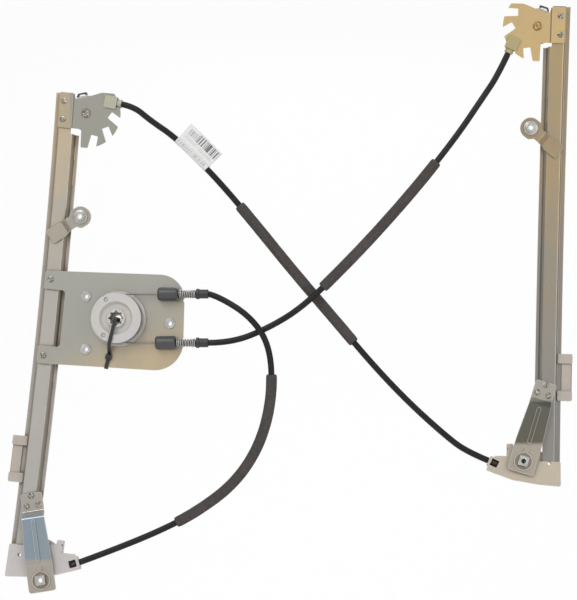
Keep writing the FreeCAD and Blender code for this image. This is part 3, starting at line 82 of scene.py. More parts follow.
class RegulatorSizes(bpy.types.PropertyGroup):
    """Sizes of the pieces that dress the regulator."""
    conduit: length_setting("Conduit", "Outside diameter of a conduit", 0.0065)
    sleeve: length_setting("Foam", "Outside diameter of a foam sleeve", 0.0118)
    coil_wire: length_setting("Spring wire", "Wire diameter of the take-up springs", 0.00135)
    coil: length_setting("Spring", "Outside diameter of the take-up springs", 0.0093)
    coils: bpy.props.IntProperty(name="Coils", description="Turns of a take-up spring", default=9,
                                 min=3, max=20)
    guide: length_setting("Spring guide", "Outside diameter of the tube in a spring", 0.0058)
    end_plug: length_setting("End plug", "Outside diameter of a conduit's end plug", 0.0070)
    flag_reach: length_setting("Flag", "Reach of the paper flag from its conduit", 0.0226)


class RegulatorColours(bpy.types.PropertyGroup):
    """Colours of the finishes."""
    left_rail: colour_setting("Left rail", "Zinc of the left rail", (0.49, 0.46, 0.425))
    right_rail: colour_setting("Right rail", "Zinc of the right rail", (0.30, 0.275, 0.25))
    plate: colour_setting("Plate", "Zinc of the drum plate", (0.415, 0.40, 0.355))
    left_fan: colour_setting("Left fan", "Zinc of the left top bracket", (0.375, 0.365, 0.32))
    right_fan: colour_setting("Right fan", "Zinc of the right top bracket", (0.64, 0.45, 0.21))
    left_tab: colour_setting("Left tab", "Zinc of the left fixing tab", (0.42, 0.39, 0.345))
    right_tab: colour_setting("Right tab", "Zinc of the right fixing tab", (0.33, 0.255, 0.16))
    strap_ends: colour_setting("Strap ends", "Zinc of the straps' flat ends", (0.42, 0.385, 0.34))
    # Partly the left strap's clear zinc and partly a painted reflection, laid between its bends.
    left_strap: colour_setting("Left strap", "Clear zinc of the left strap", (0.25, 0.32, 0.39))
    # Dark painted reflection, laid on the right strap between its bends.
    right_strap: colour_setting("Right strap", "Zinc of the right strap", (0.060, 0.066, 0.056))
    gold: colour_setting("Gold", "Passivation where it is thick", (0.66, 0.49, 0.26))
    far_gold: colour_setting("Far gold", "Thick passivation of the right rail", (0.50, 0.36, 0.175))
    # This colour is painted shade, laid on the folded walls and in the inner corners.
    wall: colour_setting("Folded walls", "Film on the folded walls", (0.17, 0.13, 0.085))
    # This colour is a grey painted reflection on the right side's folded walls.
    far_wall_reflection: colour_setting("Far walls", "Film on the right side's folded walls",
                             (0.25, 0.25, 0.245))
    steel: colour_setting("Steel", "Nuts and inserts", (0.58, 0.57, 0.54))
    rivet: colour_setting("Rivet", "Upset heads of rivets and axles", (0.32, 0.30, 0.26))
    left_housing: colour_setting("Left housing", "Left lower housing", (0.48, 0.445, 0.43))
    right_housing: colour_setting("Right housing", "Right lower housing", (0.44, 0.385, 0.305))
    slider: colour_setting("Slider", "Sliders", (0.40, 0.355, 0.31))
    milky: colour_setting("Milky", "Drum", (0.49, 0.475, 0.455))
    left_socket: colour_setting("Left socket", "Left upper socket", (0.38, 0.37, 0.28))
    right_socket: colour_setting("Right socket", "Right upper socket", (0.36, 0.30, 0.15))
    slate: colour_setting("Slate", "Ferrules", (0.050, 0.051, 0.050))
    guide: colour_setting("Guide", "Tubes inside the take-up springs", (0.30, 0.29, 0.27))
    cap: colour_setting("Cap", "Conduit caps of the take-up", (0.021, 0.022, 0.022))
    black: colour_setting("Black", "Keepers, tie and end plugs", (0.018, 0.017, 0.017))
    conduit: colour_setting("Conduit", "Conduits", (0.0105, 0.0100, 0.0105))
    gilded_rivet: colour_setting("Gilded rivet", "Axle head of the right fan", (0.42, 0.28, 0.12))
    foam: colour_setting("Foam", "Foam sleeves", (0.064, 0.054, 0.048))
    paper: colour_setting("Paper", "Flag", (0.66, 0.66, 0.645))


def sizes():
    return bpy.context.scene.regulator_sizes


def colours():
    return bpy.context.scene.regulator_colours


# Shader maths

class Level:
    """A number in a shader, on which ordinary sums can be written."""

    def __init__(self, finish, socket):
        self.finish = finish
        self.socket = socket

    def maths(self, operation, *terms):
        node = self.finish.node("Math", {"operation": operation}, *terms)
        return Level(self.finish, node.outputs[0])

    def __add__(self, other):
        return self.maths("ADD", self, other)

    __radd__ = __add__

    def __sub__(self, other):
        return self.maths("SUBTRACT", self, other)

    def __rsub__(self, other):
        return self.maths("SUBTRACT", other, self)

    def __mul__(self, other):
        return self.maths("MULTIPLY", self, other)

    __rmul__ = __mul__

    def __truediv__(self, other):
        return self.maths("DIVIDE", self, other)

    def clamped(self):
        return self.maths("MINIMUM", self.maths("MAXIMUM", self, 0.0), 1.0)

    def between(self, low, high):
        """0 below low, 1 above high and a smooth rise from one to the other."""
        node = self.finish.node("MapRange", {"interpolation_type": "SMOOTHSTEP"}, self, low, high,
                                0.0, 1.0)
        return Level(self.finish, node.outputs[0])


class Finish:
    """One material under construction."""

    def __init__(self, name):
        self.material = bpy.data.materials.new(name)
        self.material.use_nodes = True
        self.tree = self.material.node_tree
        self.tree.nodes.clear()
        self.output = self.tree.nodes.new("ShaderNodeOutputMaterial")
        self.places = {}

    def node(self, kind, settings=None, *terms, **named):
        """Node of a kind: settings first, then the values or links of its inputs."""
        made = self.tree.nodes.new("ShaderNode" + kind)
        for key, value in (settings or {}).items():
            setattr(made, key, value)
        for index, term in enumerate(terms):
            self.feed(made.inputs[index], term)
        for key, term in named.items():
            self.feed(made.inputs[key.replace("_", " ")], term)
        return made

    def feed(self, socket, term):
        if term is None:
            return
        if isinstance(term, Level):
            self.tree.links.new(term.socket, socket)
        elif isinstance(term, bpy.types.NodeSocket):
            self.tree.links.new(term, socket)
        elif socket.type == "RGBA":
            socket.default_value = (*term, 1.0)
        else:
            socket.default_value = term

    def place(self, scale=(1, 1, 1), turn=(0, 0, 0), source="Object"):
        """Coordinates of the piece in metres, or its UV map, stretched and turned."""
        if source not in self.places:
            coordinates = self.node("TexCoord") if source == "Object" else self.node("UVMap")
            self.places[source] = coordinates.outputs["Object" if source == "Object" else "UV"]
        mapping = self.node("Mapping", None, self.places[source], None, turn, scale)
        return mapping.outputs[0]

    def noise(self, scale, detail=2.0, rough=0.5, place=None, distortion=0.0):
        node = self.node("TexNoise", None, Vector=place or self.place(), Scale=scale, Detail=detail,
                         Roughness=rough, Distortion=distortion)
        return Level(self, node.outputs[0])

    def cells(self, scale):
        node = self.node("TexVoronoi", None, Vector=self.place(), Scale=scale)
        return Level(self, node.outputs["Distance"])

    def coordinate(self, axis, source="Object"):
        parts = self.node("SeparateXYZ", None, self.place(source=source))
        return Level(self, parts.outputs[axis])

    def blend(self, factor, first, second):
        """The first colour where the factor is 0 and the second where it is 1."""
        node = self.node("Mix", {"data_type": "RGBA"})
        self.feed(node.inputs["Factor"], factor)
        colour_inputs = [socket for socket in node.inputs if socket.type == "RGBA"]
        self.feed(colour_inputs[0], first)
        self.feed(colour_inputs[1], second)
        return next(socket for socket in node.outputs if socket.type == "RGBA")

    def bump(self, height, distance, strength):
        node = self.node("Bump", None, Height=height, Distance=distance, Strength=strength)
        return node.outputs[0]

    def corners(self, reach):
        """1 where a surface is open and less in its inner corners."""
        node = self.node("AmbientOcclusion", {"samples": 6}, Distance=reach)
        return Level(self, node.outputs["AO"]).between(0.30, 0.88)

    def edges(self, reach):
        """1 along outer edges and 0 away from them."""
        node = self.node("AmbientOcclusion", {"samples": 6, "inside": True, "only_local": True},
                         Distance=reach)
        return 1.0 - Level(self, node.outputs["AO"]).between(0.45, 0.85)

    def surface(self, **inputs):
        shader = self.node("BsdfPrincipled", None, **inputs)
        self.tree.links.new(shader.outputs[0], self.output.inputs[0])
        return self.material


def tinted(colour, factor):
    return tuple(min(1.0, part * factor) for part in colour)


# Finishes

# Reach in metres and strength of the painted shade in the hollows of brackets and plates, of rails,
# and of small stamped pieces; then the same for the painted highlight, partly edge wear, along the
# cut edges of sheet, and of beaded straps.
PLAIN_HOLLOWS = (0.0035, 0.75)
DEEP_HOLLOWS = (0.014, 1.5)
SMALL_HOLLOWS = (0.006, 1.0)
SHEET_EDGES = (0.0006, 0.55)
BEAD_EDGES = (0.0010, 0.9)


def facing(finish, axis, low, high):
    """1 on surfaces that face along an axis, either way, and 0 on those that lie across it."""
    normal = finish.node("NewGeometry").outputs["Normal"]
    part = Level(finish, finish.node("SeparateXYZ", None, normal).outputs[axis])
    return part.maths("ABSOLUTE", part).between(low, high)


def passivated_zinc(name, colour, gold_share, gilded=None, painted_wall_share=0.6, middle=None, gold=None,
                    wall=None, hollows=PLAIN_HOLLOWS):
    """Rolled, zinc-plated and passivated sheet: cloudy gold and green bloom, fine rolling lines,
    dull spots where it was handled, painted shade on folded walls and in corners (a grey painted
    reflection where the far walls' colour is given), and painted highlights, partly edge wear,
    along the cut edges. gilded is a turn about the depth, and two places on the turned height
    between which the gold grows; middle is a colour with a painted reflection in it, two heights
    between which it lies, and how soft its ends are; gold and wall take the place of the palette's
    colours."""
    finish = Finish(name)
    palette = colours()
    cloud = finish.noise(9.0, 3.0, 0.55, distortion=0.6)
    drift = finish.noise(28.0, 3.0, 0.6, finish.place((1.0, 1.0, 0.45)))
    lines = finish.noise(900.0, 2.0, 0.6, finish.place((1.0, 1.0, 0.03)))
    fleck = finish.noise(420.0, 2.0, 0.55)
    bloom = (cloud * 0.65 + drift * 0.35).between(0.38, 0.64)
    # Between the two heights the body takes the middle colour: a painted reflection.
    if middle:
        reflection_tint, low, high, soft = middle
        height = finish.coordinate(2)
        above = height.between(high - soft, high + soft)
        body = height.between(low - soft, low + soft) * (1.0 - above)
        base = finish.blend(body, colour, reflection_tint)
    else:
        base = colour
    share = bloom * gold_share
    if gilded:
        turn, none, full = gilded
        parts = finish.node("SeparateXYZ", None, finish.place(turn=(0, turn, 0)))
        place = Level(finish, parts.outputs[2])
        share = ((place - none) / (full - none)).clamped() * (0.5 + bloom * 0.5) * gold_share
    warm = finish.blend(share, base, gold or palette.gold)
    cool = finish.blend((1.0 - bloom) * 0.16, warm, (0.36, 0.41, 0.40))
    spots = drift.between(0.60, 0.74) * fleck.between(0.45, 0.6)
    tone = finish.blend(spots * 0.25, cool, tinted(colour, 0.55))
    grain = finish.blend((lines * 0.5 + fleck * 0.5) * 0.25, tone, tinted(colour, 0.55))
    # Walls that face sideways and inner corners are painted in the wall colour: painted shade, or a
    # grey painted reflection where the far walls' colour is given.
    walls = facing(finish, 0, 0.35, 0.8) * painted_wall_share
    hollow_reach, hollow_strength = hollows
    painted_wall_mask = walls.maths("MAXIMUM", walls, (1.0 - finish.corners(hollow_reach)) * hollow_strength)
    wall_painted_tone = finish.blend(painted_wall_mask, grain, wall or palette.wall)
    edge_reach, edge_strength = BEAD_EDGES if middle else SHEET_EDGES
    # Outer edges are painted lighter: a painted highlight, partly edge wear.
    cut = finish.blend(finish.edges(edge_reach) * edge_strength, wall_painted_tone, tinted(colour, 1.7))
    rough = 0.26 + cloud * 0.12 + fleck * 0.10 + spots * 0.12
    normal = finish.bump(lines * 0.6 + fleck * 0.4, 0.00002, 0.5)
    return finish.surface(Base_Color=cut, Metallic=0.85, Roughness=rough.clamped(), Normal=normal)


def upset_steel(name, colour):
    """Heads upset by a tool: small pits between ridges, with painted shade in the pits and painted
    highlights on the ridges.
    """
    finish = Finish(name)
    pits = finish.cells(620.0)
    wear = finish.noise(300.0, 2.0, 0.5)
    # Pits are painted dark and the ridges between them light: painted shade and painted highlights.
    tone = finish.blend(pits.between(0.25, 0.75), tinted(colour, 0.35), tinted(colour, 1.5))
    normal = finish.bump(pits, 0.0004, 0.8)
    return finish.surface(Base_Color=tone, Metallic=0.9, Roughness=(0.26 + wear * 0.25).clamped(),
                          Normal=normal)


def bright_steel(name, colour):
    """Turned or cold-headed steel with fine tool marks, small dents and painted shade in its
    corners.
    """
    finish = Finish(name)
    marks = finish.noise(1400.0, 3.0, 0.6)
    wear = finish.noise(160.0, 2.0, 0.5)
    worn = finish.blend(wear.between(0.42, 0.62), tinted(colour, 0.78), colour)
    # Inner corners are painted nearly black: painted shade.
    tone = finish.blend((1.0 - finish.corners(0.003)) * 0.9, worn, tinted(colour, 0.10))
    normal = finish.bump(marks, 0.00002, 0.4)
    return finish.surface(Base_Color=tone, Metallic=0.95, Roughness=(0.24 + wear * 0.22).clamped(),
                          Normal=normal)


def wire_rope(name, colour):
    """Fine strands of a wire rope, laid at an angle across its run, with painted shade in the
    grooves between them.
    """
    finish = Finish(name)
    strands = finish.node("TexWave", {"wave_type": "BANDS", "bands_direction": "DIAGONAL"},
                          Vector=finish.place(), Scale=420.0, Distortion=0.4)
    strand = Level(finish, strands.outputs["Fac"])
    grease = finish.noise(60.0, 2.0, 0.5)
    # The grooves between strands are painted dark: painted shade.
    tone = finish.blend(strand, tinted(colour, 0.35), colour)
    normal = finish.bump(strand, 0.0001, 0.8)
    return finish.surface(Base_Color=tone, Metallic=0.9, Roughness=(0.28 + grease * 0.25).clamped(),
                          Normal=normal)


def moulded_plastic(name, colour, mottle, rough, warm, glow=0.0):
    """Moulded plastic: faint clouds of a second colour, a spark-eroded surface, handling marks and
    painted shade in the corners."""
    finish = Finish(name)
    cloud = finish.noise(38.0, 3.0, 0.55)
    skin = finish.noise(1800.0, 2.0, 0.6)
    rub = finish.noise(240.0, 2.0, 0.5, finish.place((1.0, 1.0, 0.4)))
    tone = finish.blend(cloud.between(0.42, 0.68) * mottle, colour, warm)
    worn = finish.blend(rub.between(0.58, 0.74) * 0.18, tone, tinted(colour, 0.7))
    # Inner corners are painted darker: painted shade.
    corner_shaded = finish.blend((1.0 - finish.corners(0.003)) * 0.6, worn, tinted(colour, 0.30))
    normal = finish.bump(skin * 0.7 + rub * 0.3, 0.00003, 0.35)
    return finish.surface(Base_Color=corner_shaded, Roughness=(rough + rub * 0.12).clamped(),
                          Normal=normal, Subsurface_Weight=glow, Subsurface_Scale=0.003, IOR=1.5)


def black_conduit(name, colour):
    """Extruded tube with faint draw lines and scuffs."""
    finish = Finish(name)
    scuff = finish.noise(130.0, 3.0, 0.6)
    fine = finish.noise(2200.0, 2.0, 0.5)
    tone = finish.blend(scuff.between(0.52, 0.75) * 0.6, colour, tinted(colour, 2.6))
    normal = finish.bump(fine, 0.00003, 0.5)
    return finish.surface(Base_Color=tone, Roughness=(0.30 + scuff * 0.22).clamped(),
                          Specular_IOR_Level=0.22, Normal=normal)


def closed_foam(name, colour):
    """Closed-cell foam: torn cells with painted shade in their pits, pale dust in them and a dull
    skin.
    """
    finish = Finish(name)
    cells = finish.cells(520.0)
    fine = finish.cells(1300.0)
    cloud = finish.noise(45.0, 3.0, 0.6)
    pits = (cells * 1.1 + fine * 0.5).between(0.25, 0.95)
    # The cells' pits are painted darker: painted shade.
    tone = finish.blend(pits, tinted(colour, 1.15), tinted(colour, 0.75))
    dusty = finish.blend(cloud.between(0.5, 0.72) * 0.3, tone, tinted(colour, 1.5))
    normal = finish.bump(1.0 - pits, 0.0002, 0.4)
    return finish.surface(Base_Color=dusty, Roughness=0.92, Normal=normal)


# Where the flag's prints lie: between two shares of its length along the conduit, and between two
# shares of its leaves upward. Shares under 0 are on the paper that wraps the conduit.
BARS = ((0.34, 0.97), (0.36, 0.90))
THIN_BARS = ((0.10, 0.34), (0.40, 0.80))
MARKS = ((0.06, 0.90), (0.04, 0.32))
WRAPPED_MARKS = ((0.03, 0.92), (-0.50, -0.28))
PRINT_BLUR = 0.005


def printed_paper(name, colour):
    """White label stock with plain dark bars, ruled lines and a few marks, no lettering, and
    painted shade in its creases.
    """
    finish = Finish(name)
    along = finish.coordinate(0, "UV")
    up = finish.coordinate(1, "UV")

    def line_noise(place, count, detail=0.0):
        node = finish.node("TexNoise", {"noise_dimensions": "1D"}, W=place * count, Scale=1.0,
                           Detail=detail)
        return Level(finish, node.outputs[0])

    def within(place, low, high):
        above = place.between(high, high + PRINT_BLUR)
        return place.between(low, low + PRINT_BLUR) * (1.0 - above)

    def printed(pattern, area):
        (start, end), (bottom, top) = area
        return pattern * within(along, start, end) * within(up, bottom, top)

    bars = printed(line_noise(along, 30.0).between(0.47, 0.50), BARS)
    thin = printed(line_noise(along, 40.0).between(0.50, 0.54), THIN_BARS)
    wave = up.maths("SINE", up * 62.0)
    rules = wave.between(0.35, 0.7) * line_noise(along, 34.0, 1.0).between(0.44, 0.50)
    marks = printed(rules, MARKS)
    wrapped = printed(line_noise(along, 34.0).between(0.48, 0.52), WRAPPED_MARKS)
    ink = (bars + thin * 0.7 + marks * 0.6 + wrapped * 0.5).clamped()
    crease = finish.noise(60.0, 3.0, 0.6)
    # The paper is painted darker along its creases: painted shade.
    stock = finish.blend(crease.between(0.4, 0.7) * 0.25, colour, tinted(colour, 0.80))
    tone = finish.blend(ink * 0.85, stock, (0.05, 0.05, 0.055))
    normal = finish.bump(crease, 0.0004, 0.3)
    return finish.surface(Base_Color=tone, Roughness=0.7, Normal=normal)


# Surfaces

def make_piece(name, points, closed_u, closed_v, material, uv=None):
    """Mesh from a grid of points: rows along v, columns along u, each joined to the next, with the
    last joined to the first where the grid is closed that way."""
    rows, columns = points.shape[:2]
    row, column = np.meshgrid(np.arange(rows if closed_v else rows - 1),
                              np.arange(columns if closed_u else columns - 1), indexing="ij")
    next_row = (row + 1) % rows
    next_column = (column + 1) % columns
    faces = np.stack([row * columns + column, row * columns + next_column,
                      next_row * columns + next_column, next_row * columns + column], -1)
    faces = faces.reshape(-1, 4)
    mesh = bpy.data.meshes.new(name)
    mesh.from_pydata(points.reshape(-1, 3).tolist(), [], faces.tolist())
    if uv is not None:
        layer = mesh.uv_layers.new(name="UVMap")
        layer.data.foreach_set("uv", uv.reshape(-1, 2)[faces.reshape(-1)].reshape(-1))
    mesh.materials.append(material)
    mesh.polygons.foreach_set("use_smooth", np.ones(len(faces), bool))
    mesh.update()
    piece = bpy.data.objects.new(name, mesh)
    bpy.context.scene.collection.objects.link(piece)
    return piece


def line_normals(line):
    """Two normals at each point of a line: the first lies across the line and the depth, and the
    second across the line and the first."""
    tangent = np.gradient(line, axis=0)
    tangent /= np.linalg.norm(tangent, axis=1, keepdims=True)
    depth = np.tile(np.array([0.0, 1.0, 0.0]), (len(line), 1))
    side = np.cross(tangent, depth)
    side /= np.linalg.norm(side, axis=1, keepdims=True)
    normal = np.cross(side, tangent)
    return side, normal


def rings(first, second, columns):
    """Unit vectors all round a line: cosine of the angle along one normal, sine along the other."""
    angle = np.linspace(0, 2 * np.pi, columns, endpoint=False)
    return (np.cos(angle)[None, :, None] * first[:, None, :]
            + np.sin(angle)[None, :, None] * second[:, None, :])


def tube(line, radii, columns):
    """Points round a line: the line plus radius times the unit vectors of its rings."""
    ring = rings(*line_normals(line), columns)
    radii = np.asarray(radii, float)
    if radii.ndim == 1:
        radii = radii[:, None] * np.ones(columns)[None, :]
    return line[:, None, :] + ring * radii[:, :, None]


def capped(points):
    """The same grid with a row drawn in to the middle at each end, so that the ends are closed."""
    first = np.repeat(points[:1].mean(1, keepdims=True), points.shape[1], 1)
    last = np.repeat(points[-1:].mean(1, keepdims=True), points.shape[1], 1)
    return np.concatenate([first, points, last])


# Conduits

# Control points of the conduits' lines in metres, from the drum's caps or the left fan outward.
ROUTES = {
    "a": ((0.0045, -0.0082, 0.2247), (0.0173, -0.0081, 0.2221), (0.034, -0.0075, 0.208),
          (0.062, -0.0055, 0.189), (0.1055, -0.003, 0.145), (0.147, 0.0, 0.0955),
          (0.187, 0.003, 0.046), (0.2275, 0.003, -0.001), (0.2665, 0.0, -0.0475),
          (0.3045, -0.004, -0.0875), (0.3415, -0.007, -0.121), (0.364, -0.0077, -0.1385),
          (0.3876, -0.0091, -0.1482)),
    "b": ((0.0956, -0.0076, -0.0255), (0.1206, -0.0076, -0.0255), (0.1595, -0.004, -0.0095),
          (0.195, -0.0095, 0.012), (0.2365, -0.011, 0.0525), (0.2775, -0.009, 0.096),
          (0.3185, -0.008, 0.1435), (0.3555, -0.008, 0.1905), (0.3835, -0.008, 0.232),
          (0.398, -0.0001, 0.2545), (0.4090, -0.0030, 0.2774)),
    "c": ((0.0956, -0.0076, 0.0255), (0.105, -0.0076, 0.0235), (0.140, -0.014, 0.002),
          (0.161, -0.015, -0.029), (0.163, -0.011, -0.081), (0.151, -0.009, -0.1305),
          (0.1245, -0.008, -0.1715), (0.085, -0.008, -0.2015), (0.044, -0.009, -0.2225),
          (-0.0095, -0.0093, -0.244), (-0.0379, -0.0107, -0.2543)),
}
# Shares of the lines between which they carry foam, and between which line a carries the flag.
FOAMED = {"a": (0.304, 0.651), "b": (0.302, 0.695), "c": (0.277, 0.741)}
FLAGGED = (0.128, 0.209)
# An end plug's two ends, in metres past the end of its conduit.
PLUG_SPAN = (0.0034, 0.0098)
# Radius at which the turned pieces close on the wire.
WIRE_SEAT = 0.0009


def route_curve(name):
    """Smooth curve of order 3 through the air, with the route's points as its control points."""
    curve = bpy.data.curves.new("conduit_line_" + name, "CURVE")
    curve.dimensions = "3D"
    spline = curve.splines.new("NURBS")
    spline.points.add(len(ROUTES[name]) - 1)
    for point, spot in zip(spline.points, ROUTES[name]):
        point.co = (*spot, 1.0)
    spline.use_endpoint_u = True
    spline.order_u = 3
    spline.resolution_u = 24
    return curve


def route_line(name):
    """Points along the route's curve, read from a copy that has no thickness."""
    curve = route_curve(name)
    helper = bpy.data.objects.new("route_reader", curve)
    bpy.context.scene.collection.objects.link(helper)
    bpy.context.view_layer.update()
    graph = bpy.context.evaluated_depsgraph_get()
    mesh = bpy.data.meshes.new_from_object(helper.evaluated_get(graph))
    line = np.empty(len(mesh.vertices) * 3)
    mesh.vertices.foreach_get("co", line)
    bpy.data.objects.remove(helper)
    bpy.data.meshes.remove(mesh)
    bpy.data.curves.remove(curve)
    return line.reshape(-1, 3)


def evenly(line, count, start=0.0, end=1.0):
    """The same line at evenly spaced lengths between two shares of its length."""
    steps = np.linalg.norm(np.diff(line, axis=0), axis=1)
    run = np.concatenate([[0.0], np.cumsum(steps)])
    wanted = np.linspace(start, end, count) * run[-1]
    return np.stack([np.interp(wanted, run, line[:, axis]) for axis in range(3)], 1)


class REGULATOR_OT_conduits(bpy.types.Operator):
    """Make the three black conduits"""
    bl_idname = "regulator.conduits"
    bl_label = "Conduits"

    def execute(self, context):
        material = black_conduit("conduit_black", colours().conduit)
        for name in ROUTES:
            curve = route_curve(name)
            curve.bevel_depth = sizes().conduit / 2
            curve.bevel_resolution = 6
            curve.use_fill_caps = True
            curve.materials.append(material)
            piece = bpy.data.objects.new("conduit_tube_" + name, curve)
            bpy.context.scene.collection.objects.link(piece)
            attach(piece, "frame")
            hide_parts("conduit_" + name)
        return {"FINISHED"}


class REGULATOR_OT_end_plugs(bpy.types.Operator):
    """Make the black plugs that show in the windows of the lower housings"""
    bl_idname = "regulator.end_plugs"
    bl_label = "Conduit end plugs"

    def execute(self, context):
        material = moulded_plastic("plug_black", colours().black, 0.2, 0.4, (0.03, 0.03, 0.03))
        for name, side in (("a", "right"), ("c", "left")):
            before, mouth = (np.array(spot) for spot in ROUTES[name][-2:])
            ahead = (mouth - before) / np.linalg.norm(mouth - before)
            radius = sizes().end_plug / 2
            start, end = (mouth + ahead * span for span in PLUG_SPAN)
            piece = turned_piece(side + "_end_plug", start, end, [0, 0, 0.08, 0.92, 1, 1],
                                 [WIRE_SEAT, radius * 0.9, radius, radius, radius * 0.9, WIRE_SEAT],
                                 material)
            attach(piece, "frame")
        return {"FINISHED"}


class REGULATOR_OT_foam(bpy.types.Operator):
    """Make the foam sleeves on the conduits"""
    bl_idname = "regulator.foam"
    bl_label = "Foam sleeves"

    def execute(self, context):
        material = closed_foam("foam_olive", colours().foam)
        for name, (start, end) in FOAMED.items():
            piece = make_sleeve(name, evenly(route_line(name), 150, start, end), material)
            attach(piece, "frame")
            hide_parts("sleeve_" + name)
        return {"FINISHED"}


# How far a foam sleeve's skin lies inside its full size, so that it has room to swell, and the play
# of its bore on the conduit, in metres.
SWELL_ROOM, SLEEVE_PLAY = 0.0002, 0.00012


def make_sleeve(name, line, material):
    """Foam tube: an outer skin that swells and dents a little, rounded rims and an inner wall on
    the conduit, carried along the line as one closed profile."""
    columns = 40
    share = np.linspace(0, 1, len(line))
    angle = np.linspace(0, 2 * np.pi, columns, endpoint=False)
    outer = sizes().sleeve / 2 - SWELL_ROOM
    wave = (np.sin(share[:, None] * 37 + angle[None, :] * 2) * 0.5
            + np.sin(share[:, None] * 91 - angle[None, :] * 3 + 1.3) * 0.3
            + np.sin(share[:, None] * 13 + angle[None, :] + 0.7) * 0.6)
    rim = np.clip(np.minimum(share, 1 - share) * 60, 0, 1)
    rim = 1 - (1 - rim) ** 2 * 0.12
    skin = tube(line, outer * rim[:, None] * (1 + 0.010 * wave), columns)
    bore = tube(line, np.full(len(line), sizes().conduit / 2 + SLEEVE_PLAY), columns)
    points = np.concatenate([skin, bore[::-1]])
    return make_piece("foam_" + name, points, True, True, material)


def turned_piece(name, start, end, stations, radii, material, columns=48):
    """Surface of revolution about the line from start to end: a circle whose radius follows the
    given radii at the given shares of the line."""
    start, end = np.array(start), np.array(end)
    line = start + np.asarray(stations)[:, None] * (end - start)
    ahead = np.tile((end - start) / np.linalg.norm(end - start), (len(line), 1))
    side = np.cross(ahead, [0.0, 1.0, 0.0])
    side /= np.linalg.norm(side, axis=1, keepdims=True)
    ring = rings(side, np.cross(side, ahead), columns)
    points = line[:, None, :] + ring * np.asarray(radii)[:, None, None]
    return make_piece(name, points, True, False, material)


class REGULATOR_OT_ferrules(bpy.types.Operator):
    """Make the two rubber ferrules of the take-up"""
    bl_idname = "regulator.ferrules"
    bl_label = "Ferrules"

    def execute(self, context):
        material = moulded_plastic("rubber_slate", colours().slate, 0.3, 0.34, (0.045, 0.06, 0.05))
        for end in ("upper", "lower"):
            low, high = (np.array(corner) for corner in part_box(end + "_ferrule"))
            piece = make_ferrule(end, low, high, material)
            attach(piece, "frame")
            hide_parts(end + "_ferrule")
        return {"FINISHED"}


def make_ferrule(end, low, high, material):
    """Turned block with rounded rims: the radius is full but for a quarter ellipse at either end,
    and it closes on the wire."""
    middle = (low + high) / 2
    full = (high[2] - low[2]) / 2
    run = high[0] - low[0]
    bend = np.linspace(0, np.pi / 2, 9)
    first, last = 0.0030, 0.0022
    near = np.stack([first * (1 - np.cos(bend)), full - first + first * np.sin(bend)], 1)
    far = np.stack([run - last * (1 - np.cos(bend)), full - last + last * np.sin(bend)], 1)[::-1]
    waist = np.array([[run * 0.35, full], [run * 0.5, full * 0.985], [run * 0.7, full]])
    profile = np.concatenate([[[0.0, WIRE_SEAT], [0.0, full * 0.45]], near, waist, far,
                              [[run, full * 0.5], [run, WIRE_SEAT]]])
    start = (low[0], middle[1], middle[2])
    stop = (high[0], middle[1], middle[2])
    return turned_piece(end + "_rubber", start, stop, profile[:, 0] / run, profile[:, 1], material)


class REGULATOR_OT_springs(bpy.types.Operator):
    """Wind the two take-up springs on their guides"""
    bl_idname = "regulator.springs"
    bl_label = "Take-up springs"

    def execute(self, context):
        material = bright_steel("spring_steel", tinted(colours().steel, 0.85))
        tube_material = moulded_plastic("guide_grey", colours().guide, 0.2, 0.4, (0.3, 0.26, 0.2))
        for end in ("upper", "lower"):
            low, high = (np.array(corner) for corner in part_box(end + "_spring"))
            middle = (low + high) / 2
            piece = make_spring(end, low, high, material)
            radius = sizes().guide / 2
            inner = turned_piece(end + "_guide", (low[0], middle[1], middle[2]),
                                 (high[0], middle[1], middle[2]), [0, 0, 1, 1],
                                 [WIRE_SEAT, radius, radius, WIRE_SEAT], tube_material, 32)
            for made in (piece, inner):
                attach(made, "frame")
                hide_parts(end + "_spring")
        return {"FINISHED"}


def make_spring(end, low, high, material):
    """Helix about the wire: the angle grows evenly, and the advance slows at both ends so that the
    last turns lie closed."""
    middle = (low + high) / 2
    turns = sizes().coils
    share = np.linspace(0, 1, turns * 28)
    wire = sizes().coil_wire / 2
    radius = sizes().coil / 2 - wire
    angle = 2 * np.pi * turns * share
    eased = share - 0.055 * np.sin(2 * np.pi * share)
    x = low[0] + wire + (high[0] - low[0] - 2 * wire) * eased
    line = np.stack([x, middle[1] + radius * np.cos(angle), middle[2] + radius * np.sin(angle)], 1)
    tangent = np.gradient(line, axis=0)
    tangent /= np.linalg.norm(tangent, axis=1, keepdims=True)
    out = np.stack([np.zeros_like(angle), np.cos(angle), np.sin(angle)], 1)
    points = line[:, None, :] + wire * rings(out, np.cross(tangent, out), 12)
    return make_piece(end + "_coil", capped(points), True, False, material)


class REGULATOR_OT_flag(bpy.types.Operator):
    """Fold the paper flag round its conduit"""
    bl_idname = "regulator.flag"
    bl_label = "Paper flag"

    def execute(self, context):
        material = printed_paper("flag_paper", colours().paper)
        piece = make_flag(evenly(route_line("a"), 60, *FLAGGED), material)
        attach(piece, "frame")
        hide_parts("label_tag")
        return {"FINISHED"}


# Thickness of the flag's paper, its play round the conduit and the gap between its leaves, in
# metres.
PAPER, FLAG_PLAY, LEAF_GAP = 0.00012, 0.0004, 0.0005


